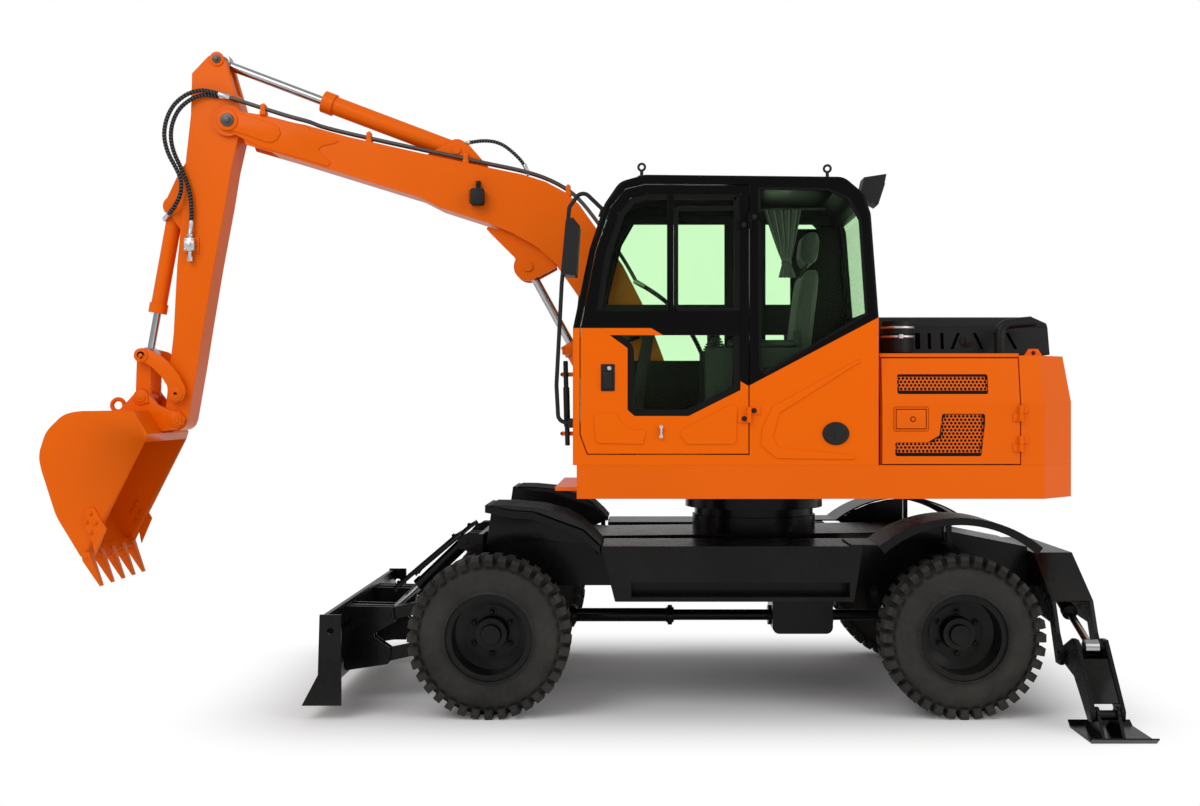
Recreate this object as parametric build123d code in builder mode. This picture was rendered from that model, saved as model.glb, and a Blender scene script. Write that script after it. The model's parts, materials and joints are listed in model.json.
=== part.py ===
import os
from math import hypot

from build123d import *

os.makedirs("parts", exist_ok=True)

# A 7 tonne wheeled excavator with a dozer blade in front and stabiliser legs behind.
# X runs to the rear from the swing axis, Y to the machine's right, Z up from the ground.
# Pieces are modelled there and moved along X as they are saved, so that the origin lies
# on the ground under the middle of the whole machine.

# ---- Clearances -------------------------------------------------------------
seat_gap = 0.3        # between pieces that bear on one another
pin_gap = 0.1         # radial, between a pin and the bore that turns on it
side_gap = 6.0        # beside an eye or an arm between two plates
panel_gap = 6.0       # round a door or a lid

# ---- Wheels and axles -------------------------------------------------------
wheel_radius = 430.0          # to the tips of the lugs
tyre_width = 235.0
lug_count = 36                # round a tyre
lug_width = 40.0
lug_depth = 20.0
wheel_outer_y = 1000.0
rim_seat_radius = 206.0       # 16 inch bead seat
rim_flange_radius = 230.0
rim_wall = 8.0
bead_width = 165.0
flange_thickness = 11.0
disc_thickness = 12.0
disc_flat_radius = 150.0
disc_set_out = 18.0           # how far the disc's rim stands out from its flat
hub_face_y = 785.0            # where the wheel's disc meets the axle's flange
hub_radius = 91.0
hub_length = 70.0
hub_cap_radius = 56.5
hub_cap_length = 30.0
front_axle_x = -1475.0
wheelbase = 2502.0
rear_axle_x = front_axle_x + wheelbase
axle_tube_radius = 65.0
axle_flange_radius = 100.0
differential_radius = 150.0
pinion_radius = 62.0
pinion_reach = 240.0          # from the axle's centre to its drive flange
axle_saddle_x = 90.0          # half length of the block that carries an axle

kingpin_y = 660.0
yoke_plate = 30.0
yoke_half_height = 115.0
yoke_half_width = 62.0
yoke_web_y = 575.0
knuckle_radius = 58.0
steer_limit = 30.0            # degrees either way
steering_arm = 160.0
steering_rod_z = 325.0
steering_rod_radius = 16.0
steering_eye_radius = 26.0
steering_barrel_radius = 33.0
steering_barrel_half = 190.0

# ---- Chassis ----------------------------------------------------------------
frame_half_width = 330.0
frame_wall = 16.0
frame_bottom = 620.0
frame_front_x = -1585.0
mount_plate = 25.0            # the blade's mount, across the frame's front end
frame_front_top = 930.0
frame_mid_top = 905.0
frame_rear_x = rear_axle_x + 516.0
frame_rear_top = 842.0
frame_hump_x = rear_axle_x + 81.0
frame_hump_top = 928.0
tower_radius = 365.0
tower_top = 1007.0
ring_neck_radius = 352.0
ring_neck_top = 1055.0
ring_radius = 407.0
ring_bore = 270.0
platform_bottom = 1163.0
drive_shaft_z = 400.0
drive_shaft_radius = 32.0
drive_flange_radius = 58.0
drive_flange = 16.0
transfer_case_front_x = 100.0
transfer_case_length = 355.0
transfer_case_half_width = 150.0

side_box_outer_y = 950.0
side_box_inner_y = 520.0
side_box_top = 909.0
side_box_bottom = 616.0
side_box_front_top_x = -886.0
side_box_front_bottom_x = -811.0
side_box_rear_top_x = 498.0
side_box_rear_bottom_x = 453.0
side_box_hangers = (-660.0, 340.0)
step_hole_x = (-725.0, 430.0)
step_hole_z = (640.0, 718.0)
step_depth = 130.0
fender_plate = 8.0
fender_lip = 38.0
fender_inner_y = 600.0

# ---- Dozer blade ------------------------------------------------------------
blade_half_width = 1000.0
blade_bottom = 78.0
blade_top = 555.0
blade_tip_x = -2454.0
blade_top_x = -2360.0
blade_back_x = -2247.0
blade_plate = 15.0
mould_middle_z = 300.0
link_y = 450.0                # centre plane of the blade's links
link_half = 16.0
lug_plate = 14.0
lug_radius = 42.0
blade_pin_radius = 20.0
chassis_lower_pin = (-1663.0, 340.0)
chassis_upper_pin = (-1640.0, 572.0)
blade_lower_pin = (-2121.0, 243.0)
blade_upper_pin = (-2098.0, 475.0)
blade_ram_y = 350.0
blade_ram_base = (-1675.0, 881.0)
blade_ram_eye = blade_upper_pin
lashing_hole = (-2303.0, 469.0)
lashing_radius = 18.0

# ---- Stabilisers (across the machine, as (Y, Z) on the right-hand side) ------
outrigger_front_x = frame_rear_x
outrigger_length = 222.0
outrigger_plate = 20.0
outrigger_rear_x = outrigger_front_x + outrigger_length
outrigger_mid_x = (outrigger_front_x + outrigger_rear_x) / 2
leg_hinge = (906.0, 324.0)
leg_ram_pin = (1090.0, 402.0)
foot_pin = (1330.0, 105.0)
leg_ram_base = (330.0, 682.0)
leg_plate = 20.0
leg_pin_radius = 25.0
pad_length = 320.0
pad_width = 410.0
pad_front_x = outrigger_front_x - 15.0
pad_middle_y = 1315.0
pad_thickness = 22.0

# ---- Upper frame ------------------------------------------------------------
deck_top = 1340.0
body_half_width = 1000.0
platform_front_x = -1011.0
step_nose_x = -1127.0
tail_corner_x = 1440.0
tail_side_x = 1645.0
tail_side_y = 800.0
tail_x = 1755.0
deck_plate = 20.0
boom_y = 100.0                # centre plane of the boom, arm and bucket
boom_half = 120.0
bracket_plate = 30.0
bracket_gap = 8.0

counterweight_front_x = 1320.0
counterweight_top = 1917.0
lifting_eye_x = 1409.0
lifting_eye_y = body_half_width - 95.0
lifting_eye_plate = 20.0
lifting_eye_radius = 12.0
counterweight_wall = 135.0
side_lean = 45.0              # how far the sides lean in from the crease to the top
side_panel_front_x = 587.0
side_panel_top = 1928.0
side_panel_crease = 1671.0
door_skin = 34.0
hood_half_width = 560.0
hood_top = 2150.0
hood_front_x = 606.0
hood_rear_x = 1603.0
hood_wall = 12.0
hood_edge_radius = 40.0
hood_low = side_panel_top + panel_gap
hinge_radius = 12.0
hinge_pin = 5.0
hood_hinge = (hood_rear_x + hinge_radius + 2, hood_low + 10)
hood_hinge_y = 280.0
side_hinge = (counterweight_front_x - panel_gap / 2, body_half_width + hinge_radius + 2)
side_hinge_heights = (1410.0, 1570.0)
cleaner_place = (731.0, 310.0 - body_half_width)
cleaner_radius = 88.0
exhaust_place = (1290.0, 310.0 - body_half_width)
exhaust_radius = 29.0
exhaust_top = 2096.0          # of its middle line, where it turns to the rear
exhaust_reach = 200.0
engine_front_x = 720.0
engine_length = 520.0
engine_half_width = 300.0
engine_height = 480.0
right_housing_front_x = -700.0
right_housing_inner_y = 300.0
right_housing_top = 1900.0
housing_wall = 25.0

# ---- Cab --------------------------------------------------------------------
cab_left_y = -1000.0
cab_right_y = -80.0
cab_wall = 40.0
cab_rear_x = 576.0
cab_bend_radius = 90.0
cab_edge_radius = 16.0
door_hinge_x = -110.0
door_axis = (-107.0, -1013.0)    # X and Y of the door's hinge line
door_hinge_heights = (1605.0, 2620.0)
knuckle_length = 42.0
door_bottom = 1400.0
glass_thickness = 6.0
pressing = 5.0                # height of the shapes pressed in the cab's panels
screen_depth = 17.0           # from the cab's outside to its front and rear panes

# ---- Boom, arm and bucket, pins as (X, Z) -----------------------------------
boom_foot = (-470.0, 1500.0)
boom_ram_base = (-715.0, 1330.0)
boom_ram_eye = (-1351.0, 2484.0)
arm_pivot = (-3136.0, 3351.0)
arm_ram_base = (-1777.0, 3183.0)
arm_ram_eye = (-3211.0, 3725.0)
bucket_ram_base = (-3485.0, 2849.0)
bucket_pivot = (-3455.0, 1569.0)
rocker_pivot = (-3440.0, 1720.0)
rocker_joint = (-3647.0, 1950.0)
bucket_link_pin = (-3655.0, 1700.0)
boom_wall = 14.0
fork_plate = 15.0
arm_half = 95.0
arm_wall = 12.0
bucket_half_width = 360.0
bucket_plate = 16.0
tooth_count = 5
tooth_width = 62.0
ear_plate = 24.0
rocker_plate = 18.0
bucket_eye = (-4098.0, 1598.0)
bucket_eye_radius = 22.0
main_pin_radius = 30.0
small_pin_radius = 25.0

pieces = {}


def keep(name, piece):
    piece.part.label = name
    pieces[name] = piece.part


# ---- Shapes that are pushed or turned along one axis -------------------------
def slab_y(points, y_from, y_to, mode=Mode.ADD, corner=0, grow=0):
    """An X-Z outline pushed along Y, its corners rounded or its edges moved outwards first."""
    with BuildSketch(Plane.XZ.offset(-y_from)) as face:
        with BuildLine():
            Polyline(*points, close=True)
        make_face()
        if corner:
            fillet(face.vertices(), corner)
        if grow:
            offset(amount=grow, kind=Kind.INTERSECTION, mode=Mode.REPLACE)
    extrude(face.sketch, amount=y_from - y_to, mode=mode)


def slab_x(points, x_from, x_to, mode=Mode.ADD, corner=0):
    with BuildSketch(Plane.YZ.offset(x_from)) as face:
        with BuildLine():
            Polyline(*points, close=True)
        make_face()
        if corner:
            fillet(face.vertices(), corner)
    extrude(face.sketch, amount=x_to - x_from, mode=mode)


def slab_z(points, z_from, z_to, mode=Mode.ADD, corner=0):
    with BuildSketch(Plane.XY.offset(z_from)) as face:
        with BuildLine():
            Polyline(*points, close=True)
        make_face()
        if corner:
            fillet(face.vertices(), corner)
    extrude(face.sketch, amount=z_to - z_from, mode=mode)


def rod_y(centre, radius, y_from, y_to, mode=Mode.ADD):
    with BuildSketch(Plane.XZ.offset(-y_from)) as face:
        with Locations(centre):
            Circle(radius)
    extrude(face.sketch, amount=y_from - y_to, mode=mode)


def rod_x(centre, radius, x_from, x_to, mode=Mode.ADD):
    with BuildSketch(Plane.YZ.offset(x_from)) as face:
        with Locations(centre):
            Circle(radius)
    extrude(face.sketch, amount=x_to - x_from, mode=mode)


def rod_z(centre, radius, z_from, z_to, mode=Mode.ADD):
    with BuildSketch(Plane.XY.offset(z_from)) as face:
        with Locations(centre):
            Circle(radius)
    extrude(face.sketch, amount=z_to - z_from, mode=mode)


def block(x_range, y_range, z_range, mode=Mode.ADD):
    spans = [(min(r), max(r)) for r in (x_range, y_range, z_range)]
    with Locations([tuple((low + high) / 2 for low, high in spans)]):
        Box(*(high - low for low, high in spans), mode=mode)


def strap_y(start, end, radius, y_from, y_to, mode=Mode.ADD):
    """A flat link with round ends about two pins."""
    with BuildSketch(Plane.XZ.offset(-y_from)) as face:
        SlotCenterPoint(
            ((start[0] + end[0]) / 2, (start[1] + end[1]) / 2), end, height=2 * radius
        )
    extrude(face.sketch, amount=y_from - y_to, mode=mode)


def mirrored(outline):
    """The same outline on the other side of the machine's centre plane."""
    return [(-across, up) for across, up in reversed(outline)]


def between(start, end, share):
    return tuple(a + share * (b - a) for a, b in zip(start, end))


# ---- Hydraulic rams ---------------------------------------------------------
def ram_plane(base, eye, along_x, middle):
    """Local Z runs from the base pin to the eye, local X along the pins."""
    if along_x:
        return Plane(
            origin=(middle, base[0], base[1]),
            x_dir=(1, 0, 0),
            z_dir=(0, eye[0] - base[0], eye[1] - base[1]),
        )
    return Plane(
        origin=(base[0], middle, base[1]),
        x_dir=(0, 1, 0),
        z_dir=(eye[0] - base[0], 0, eye[1] - base[1]),
    )


def ram_barrel(plane, size):
    with BuildPart(plane) as barrel:
        with Locations((0, 0, size["eye_radius"] * 0.6)):
            Cylinder(
                size["radius"],
                size["barrel"] - size["eye_radius"] * 0.6,
                align=(Align.CENTER, Align.CENTER, Align.MIN),
            )
        with Locations((0, 0, size["barrel"] - size["gland"])):
            Cylinder(
                size["radius"] * 1.18,
                size["gland"],
                align=(Align.CENTER, Align.CENTER, Align.MIN),
            )
        Cylinder(size["eye_radius"], size["eye_width"], rotation=(0, 90, 0))
        Cylinder(
            size["pin"] + pin_gap,
            size["eye_width"] + 2,
            rotation=(0, 90, 0),
            mode=Mode.SUBTRACT,
        )
        with Locations((0, 0, size["eye_radius"] + 10)):
            Cylinder(
                size["rod"] + pin_gap,
                size["barrel"],
                align=(Align.CENTER, Align.CENTER, Align.MIN),
                mode=Mode.SUBTRACT,
            )
    return barrel


def ram_rod(plane, size, length):
    inner_end = size["barrel"] - size["overlap"]
    with BuildPart(plane) as rod:
        with Locations((0, 0, inner_end)):
            Cylinder(
                size["rod"],
                length - inner_end - size["eye_radius"] * 0.6,
                align=(Align.CENTER, Align.CENTER, Align.MIN),
            )
        with Locations((0, 0, length)):
            Cylinder(size["eye_radius"], size["eye_width"], rotation=(0, 90, 0))
            Cylinder(
                size["pin"] + pin_gap,
                size["eye_width"] + 2,
                rotation=(0, 90, 0),
                mode=Mode.SUBTRACT,
            )
    return rod


def ram_size(radius, rod, barrel, gland, eye_radius, eye_width, pin, overlap):
    return {
        "radius": radius,
        "rod": rod,
        "barrel": barrel,
        "gland": gland,
        "eye_radius": eye_radius,
        "eye_width": eye_width,
        "pin": pin,
        "overlap": overlap,
    }


def length_of(start, end):
    return hypot(end[0] - start[0], end[1] - start[1])


# ---- Wheels -----------------------------------------------------------------
wheel_middle_y = wheel_outer_y - tyre_width / 2
rim_half = bead_width / 2 + flange_thickness
wheels = {
    "front_left": (front_axle_x, -1),
    "front_right": (front_axle_x, 1),
    "rear_left": (rear_axle_x, -1),
    "rear_right": (rear_axle_x, 1),
}


def wheel_plane(x, side, y):
    """Local X points outwards along the axle and local Y along a radius."""
    return Plane(origin=(x, side * y, wheel_radius), x_dir=(0, side, 0), z_dir=(1, 0, 0))


def tyre_ring():
    """A tyre about the Y axis, many-sided so that each lug stands on a flat of its own."""
    half = tyre_width / 2
    bead = bead_width / 2
    floor = wheel_radius - lug_depth
    side_rings = [            # across, radius
        (bead, rim_flange_radius + 6),
        (half, wheel_radius - 112),
        (half - 26, floor),
    ]
    rings = [(-across, radius) for across, radius in side_rings] + side_rings[::-1]
    lug = [                   # across, radius
        (half - 15.5, floor - 46),
        (half - 17, wheel_radius),
    ]
    lug += [(-across, radius) for across, radius in reversed(lug)]
    with BuildPart() as bar:
        slab_x(lug, -lug_width / 2, lug_width / 2)
    with BuildPart() as ring:
        turn = 360 / lug_count
        for across, radius in rings:
            with BuildSketch(Plane.XZ.offset(across)):
                RegularPolygon(radius, lug_count, major_radius=False, rotation=turn / 2)
        loft(ruled=True)
        with BuildSketch(Plane.XZ.offset(-bead - 1)):
            RegularPolygon(
                rim_seat_radius + seat_gap, lug_count, major_radius=False, rotation=turn / 2
            )
        extrude(amount=2 * bead + 2, mode=Mode.SUBTRACT)
        add([bar.part.rotate(Axis.Y, turn * number) for number in range(lug_count)])
    return ring.part


def tyre(x, side):
    with BuildPart() as piece:
        with Locations((x, side * wheel_middle_y, wheel_radius)):
            add(whole_tyre)
    return piece


def rim(x, side):
    face = hub_face_y - wheel_middle_y
    bead = bead_width / 2 + seat_gap
    inner = rim_seat_radius - rim_wall
    flat = face + disc_thickness
    hub_end = flat + hub_length
    cap_end = hub_end + hub_cap_length
    with BuildPart() as piece:
        with BuildSketch(wheel_plane(x, side, wheel_middle_y)):
            with BuildLine():
                Polyline(
                    (-rim_half, inner),
                    (-rim_half, rim_flange_radius),
                    (-bead, rim_flange_radius),
                    (-bead, rim_seat_radius),
                    (bead, rim_seat_radius),
                    (bead, rim_flange_radius),
                    (rim_half, rim_flange_radius),
                    (rim_half, inner),
                    close=True,
                )
            make_face()
            with BuildLine():
                Polyline(
                    (face, 0),
                    (face, disc_flat_radius),
                    (face + disc_set_out, inner + rim_wall / 2),
                    (flat + disc_set_out, inner + rim_wall / 2),
                    (flat, disc_flat_radius - 4),
                    (flat, hub_radius),
                    (hub_end, hub_radius - 6),
                    (hub_end, hub_cap_radius),
                    (cap_end, hub_cap_radius - 5),
                    (cap_end, 0),
                    close=True,
                )
            make_face()
        revolve(axis=Axis((x, 0, wheel_radius), (0, 1, 0)))
    return piece


whole_tyre = tyre_ring()
for place, (x, side) in wheels.items():
    keep(f"tyre_{place}", tyre(x, side))
    keep(f"rim_{place}", rim(x, side))

# ---- Axles, knuckles and drive line -----------------------------------------
axle_face_y = hub_face_y - 0.5
pinion_x = front_axle_x + pinion_reach
rear_pinion_x = rear_axle_x - pinion_reach
yoke_low = wheel_radius - yoke_half_height
yoke_high = wheel_radius + yoke_half_height
arm_thickness = 16.0
steering_eye_height = 36.0
steering_arm_low = steering_rod_z + steering_eye_height / 2 + 0.5
steering_rod_x = front_axle_x + steering_arm

with BuildPart() as front_axle:
    rod_y((front_axle_x, wheel_radius), axle_tube_radius, -yoke_web_y, yoke_web_y)
    rod_y((front_axle_x, wheel_radius), differential_radius, -95, 95)
    rod_x((0, drive_shaft_z), pinion_radius, front_axle_x, pinion_x)
    block(
        (front_axle_x - axle_saddle_x, front_axle_x + axle_saddle_x),
        (-120, 120),
        (wheel_radius, frame_bottom - seat_gap),
    )
    for side in (-1, 1):
        block(
            (front_axle_x - yoke_half_width, front_axle_x + yoke_half_width),
            (side * (yoke_web_y - 35), side * yoke_web_y),
            (yoke_low, yoke_high),
        )
        for low in (yoke_low, yoke_high - yoke_plate):
            block(
                (front_axle_x - yoke_half_width, front_axle_x + yoke_half_width),
                (side * yoke_web_y, side * kingpin_y),
                (low, low + yoke_plate),
            )
            rod_z((front_axle_x, side * kingpin_y), yoke_half_width, low, low + yoke_plate)
        block(
            (front_axle_x, steering_rod_x),
            (side * 120 - 12, side * 120 + 12),
            (steering_rod_z, wheel_radius),
        )
    rod_y(
        (steering_rod_x, steering_rod_z),
        steering_barrel_radius,
        -steering_barrel_half,
        steering_barrel_half,
    )
    rod_y(
        (steering_rod_x, steering_rod_z),
        steering_rod_radius + pin_gap,
        -steering_barrel_half,
        steering_barrel_half,
        Mode.SUBTRACT,
    )
keep("front_axle", front_axle)


def knuckle(side):
    low = yoke_low + yoke_plate + 1
    high = yoke_high - yoke_plate - 1
    arm_half_width = 24.0
    with BuildPart() as piece:
        rod_z((front_axle_x, side * kingpin_y), knuckle_radius, low, high)
        rod_y((front_axle_x, wheel_radius), 60, side * kingpin_y, side * axle_face_y)
        rod_y(
            (front_axle_x, wheel_radius),
            axle_flange_radius,
            side * (axle_face_y - 24),
            side * axle_face_y,
        )
        block(
            (front_axle_x, steering_rod_x),
            (side * kingpin_y - arm_half_width, side * kingpin_y + arm_half_width),
            (low, low + arm_thickness),
        )
        rod_z((steering_rod_x, side * kingpin_y), 30, steering_arm_low, low + arm_thickness)
    return piece


keep("knuckle_left", knuckle(-1))
keep("knuckle_right", knuckle(1))

with BuildPart() as steering_rod:
    rod_y((steering_rod_x, steering_rod_z), steering_rod_radius, -kingpin_y, kingpin_y)
    for side in (-1, 1):
        rod_z(
            (steering_rod_x, side * kingpin_y),
            steering_eye_radius,
            steering_rod_z - steering_eye_height / 2,
            steering_rod_z + steering_eye_height / 2,
        )
keep("steering_rod", steering_rod)

with BuildPart() as rear_axle:
    rod_y((rear_axle_x, wheel_radius), axle_tube_radius, -axle_face_y, axle_face_y)
    rod_y((rear_axle_x, wheel_radius), differential_radius, -95, 95)
    rod_x((0, drive_shaft_z), pinion_radius, rear_pinion_x, rear_axle_x)
    for side in (-1, 1):
        rod_y(
            (rear_axle_x, wheel_radius),
            axle_flange_radius,
            side * (axle_face_y - 60),
            side * axle_face_y,
        )
        block(
            (rear_axle_x - axle_saddle_x, rear_axle_x + axle_saddle_x),
            (side * 200, side * 320),
            (wheel_radius - 20, frame_bottom - seat_gap),
        )
keep("rear_axle", rear_axle)

case_rear_x = transfer_case_front_x + transfer_case_length
with BuildPart() as driveline:
    slab_y(
        [
            (transfer_case_front_x, drive_shaft_z - 90),
            (transfer_case_front_x, frame_bottom - seat_gap),
            (case_rear_x, frame_bottom - seat_gap),
            (case_rear_x, drive_shaft_z - 90),
        ],
        -transfer_case_half_width,
        transfer_case_half_width,
        corner=40,
    )
    block(
        (transfer_case_front_x + 40, case_rear_x - 40),
        (-transfer_case_half_width, transfer_case_half_width),
        (frame_bottom - 60, frame_bottom - seat_gap),
    )
    for start, end in ((pinion_x, transfer_case_front_x), (case_rear_x, rear_pinion_x)):
        rod_x((0, drive_shaft_z), drive_shaft_radius, start + 0.3, end - 0.3)
        rod_x((0, drive_shaft_z), drive_flange_radius, start + 0.3, start + drive_flange)
        rod_x((0, drive_shaft_z), drive_flange_radius, end - drive_flange, end - 0.3)
    rod_x((0, drive_shaft_z), drive_shaft_radius, transfer_case_front_x - 1, transfer_case_front_x)
    rod_x((0, drive_shaft_z), drive_shaft_radius, case_rear_x, case_rear_x + 1)
keep("driveline", driveline)

# ---- Chassis ----------------------------------------------------------------
blade_bracket_front_x = blade_ram_base[0] - lug_radius


frame_nose_x = frame_front_x + mount_plate + seat_gap
frame_outline = [
    (frame_nose_x, frame_bottom),
    (frame_nose_x, frame_front_top),
    (-1150, frame_front_top),
    (-900, frame_mid_top),
    (frame_hump_x, frame_hump_top),
    (frame_rear_x, frame_rear_top),
    (frame_rear_x, frame_bottom),
]
bay_half_width = frame_half_width - frame_wall - 30
frame_bays = (
    (front_axle_x + axle_saddle_x + 90, transfer_case_front_x - 40),
    (case_rear_x + 40, rear_axle_x - axle_saddle_x - 90),
    (rear_axle_x + axle_saddle_x + 90, frame_rear_x - 90),
)
mount_half_width = link_y + 50
with BuildPart() as chassis_frame:
    slab_y(frame_outline, -frame_half_width, frame_half_width)
    slab_y(
        frame_outline,
        frame_wall - frame_half_width,
        frame_half_width - frame_wall,
        Mode.SUBTRACT,
        grow=-frame_wall,
    )
    rod_z((0, 0), tower_radius, frame_mid_top - 5, tower_top)
    for start, end in frame_bays:
        block(
            (start, end),
            (-bay_half_width, bay_half_width),
            (frame_bottom - 1, frame_bottom + frame_wall + 1),
            Mode.SUBTRACT,
        )
keep("chassis_frame", chassis_frame)

mount_back_x = frame_front_x + mount_plate
with BuildPart() as blade_mount:
    block(
        (frame_front_x, mount_back_x),
        (-mount_half_width, mount_half_width),
        (frame_bottom, frame_front_top),
    )
    for side in (-1, 1):
        block(
            (frame_front_x, mount_back_x),
            (side * frame_half_width, side * mount_half_width),
            (frame_bottom - 60, frame_bottom + 1),
        )
        for y in (link_y - link_half - side_gap, link_y + link_half + side_gap + lug_plate):
            slab_y(
                [
                    (frame_front_x + 10, 290),
                    (frame_front_x + 10, frame_bottom + 40),
                    (chassis_upper_pin[0] - lug_radius, chassis_upper_pin[1] + 42),
                    (chassis_lower_pin[0] - lug_radius, 290),
                ],
                side * y,
                side * (y - lug_plate),
                corner=20,
            )
        for pin in (chassis_lower_pin, chassis_upper_pin):
            rod_y(
                pin,
                blade_pin_radius,
                side * (link_y - link_half - side_gap - lug_plate - 4),
                side * (link_y + link_half + side_gap + lug_plate + 4),
            )
        for y in (blade_ram_y - 30 - side_gap, blade_ram_y + 30 + side_gap + lug_plate):
            slab_y(
                [
                    (frame_front_x + 10, frame_front_top - 130),
                    (frame_front_x + 10, frame_front_top),
                    (blade_ram_base[0] + 20, frame_front_top),
                    (blade_bracket_front_x, blade_ram_base[1] + 9),
                    (blade_bracket_front_x, frame_front_top - 90),
                ],
                side * y,
                side * (y - lug_plate),
            )
        rod_y(
            blade_ram_base,
            blade_pin_radius,
            side * (blade_ram_y - 30 - side_gap - lug_plate - 4),
            side * (blade_ram_y + 30 + side_gap + lug_plate + 4),
        )
keep("blade_mount", blade_mount)

with BuildPart() as swing_ring:
    rod_z((0, 0), ring_neck_radius, tower_top, ring_neck_top)
    rod_z((0, 0), ring_radius, ring_neck_top, platform_bottom - 0.5)
    rod_z((0, 0), ring_bore, tower_top, platform_bottom, Mode.SUBTRACT)
keep("swing_ring", swing_ring)

side_box_outline = [
    (side_box_front_bottom_x, side_box_bottom),
    (side_box_front_top_x, side_box_top),
    (side_box_rear_top_x, side_box_top),
    (side_box_rear_bottom_x, side_box_bottom),
]
with BuildPart() as side_boxes:
    for side in (-1, 1):
        for x in side_box_hangers:
            block(
                (x - 60, x + 60),
                (side * (frame_half_width + seat_gap), side * (side_box_inner_y + 1)),
                (side_box_bottom + 30, frame_mid_top - 40),
            )
        slab_y(side_box_outline, side * side_box_inner_y, side * side_box_outer_y, corner=8)
        block(
            step_hole_x,
            (side * (side_box_outer_y - step_depth), side * (side_box_outer_y + 5)),
            step_hole_z,
            Mode.SUBTRACT,
        )
keep("side_boxes", side_boxes)

front_fender_line = [(-1492, 1129), (-1352, 1100), (-1243, 1093), (-978, 996), (-890, 913)]
arch_front = (rear_axle_x - 452, 913)
arch_crown = (rear_axle_x - 31, 1063)
arch_rear = (rear_axle_x + 409, 906)


def within_arch(shorter, lower):
    """The arch's three points, drawn in at its ends and lowered by a plate or lip."""
    return (
        (arch_front[0] + shorter, arch_front[1] - lower),
        (arch_crown[0], arch_crown[1] - lower),
        (arch_rear[0] - shorter, arch_rear[1] - lower),
    )


with BuildPart() as fenders:
    for side in (-1, 1):
        lower_line = [(x, z - fender_plate) for x, z in reversed(front_fender_line)]
        slab_y(
            front_fender_line + lower_line,
            side * fender_inner_y,
            side * wheel_outer_y,
        )
        lip_line = [(x, z - fender_lip) for x, z in reversed(front_fender_line)]
        slab_y(
            front_fender_line + lip_line,
            side * (wheel_outer_y - 6),
            side * wheel_outer_y,
        )
        with BuildSketch(Plane.XZ.offset(-side * fender_inner_y)) as arch:
            with BuildLine():
                upper = ThreePointArc(arch_front, arch_crown, arch_rear)
                lower = ThreePointArc(*within_arch(12, fender_plate))
                Line(upper @ 1, lower @ 1)
                Line(lower @ 0, upper @ 0)
            make_face()
        extrude(arch.sketch, amount=-side * (wheel_outer_y - fender_inner_y))
        with BuildSketch(Plane.XZ.offset(-side * (wheel_outer_y - 6))) as lip:
            with BuildLine():
                upper = ThreePointArc(arch_front, arch_crown, arch_rear)
                lower = ThreePointArc(*within_arch(29, fender_lip))
                Line(upper @ 1, lower @ 1)
                Line(lower @ 0, upper @ 0)
            make_face()
        extrude(lip.sketch, amount=-side * 6)
        block(
            (side_box_rear_top_x - 60, arch_front[0] + 10),
            (side * fender_inner_y, side * side_box_outer_y),
            (side_box_top, side_box_top + fender_plate),
        )
        for x, top in ((front_axle_x + 560, 940), (rear_axle_x, 1056)):
            slab_x(
                [
                    (side * (frame_half_width + seat_gap), 800),
                    (side * (frame_half_width + seat_gap), frame_mid_top - 20),
                    (side * (fender_inner_y + 1), frame_mid_top - 20),
                    (side * (fender_inner_y + 1), frame_mid_top - 50),
                ],
                x - 15,
                x + 15,
            )
            block(
                (x - 14, x + 14),
                (side * (fender_inner_y + seat_gap), side * (fender_inner_y + 30)),
                (frame_mid_top - 50, top),
            )
keep("fenders", fenders)

# ---- Dozer blade ------------------------------------------------------------
with BuildPart() as blade_lower_links:
    for side in (-1, 1):
        strap_y(
            chassis_lower_pin,
            blade_lower_pin,
            lug_radius - 6,
            side * (link_y - link_half),
            side * (link_y + link_half),
        )
        for pin in (chassis_lower_pin, blade_lower_pin):
            rod_y(
                pin,
                blade_pin_radius + pin_gap,
                side * (link_y - link_half),
                side * (link_y + link_half),
                Mode.SUBTRACT,
            )
    rod_y(between(chassis_lower_pin, blade_lower_pin, 0.5), 26, -link_y, link_y)
keep("blade_lower_links", blade_lower_links)

with BuildPart() as blade_upper_links:
    for side in (-1, 1):
        strap_y(
            chassis_upper_pin,
            blade_upper_pin,
            lug_radius - 8,
            side * (link_y - link_half),
            side * (link_y + link_half),
        )
        for pin in (chassis_upper_pin, blade_upper_pin):
            rod_y(
                pin,
                blade_pin_radius + pin_gap,
                side * (link_y - link_half),
                side * (link_y + link_half),
                Mode.SUBTRACT,
            )
keep("blade_upper_links", blade_upper_links)

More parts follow.
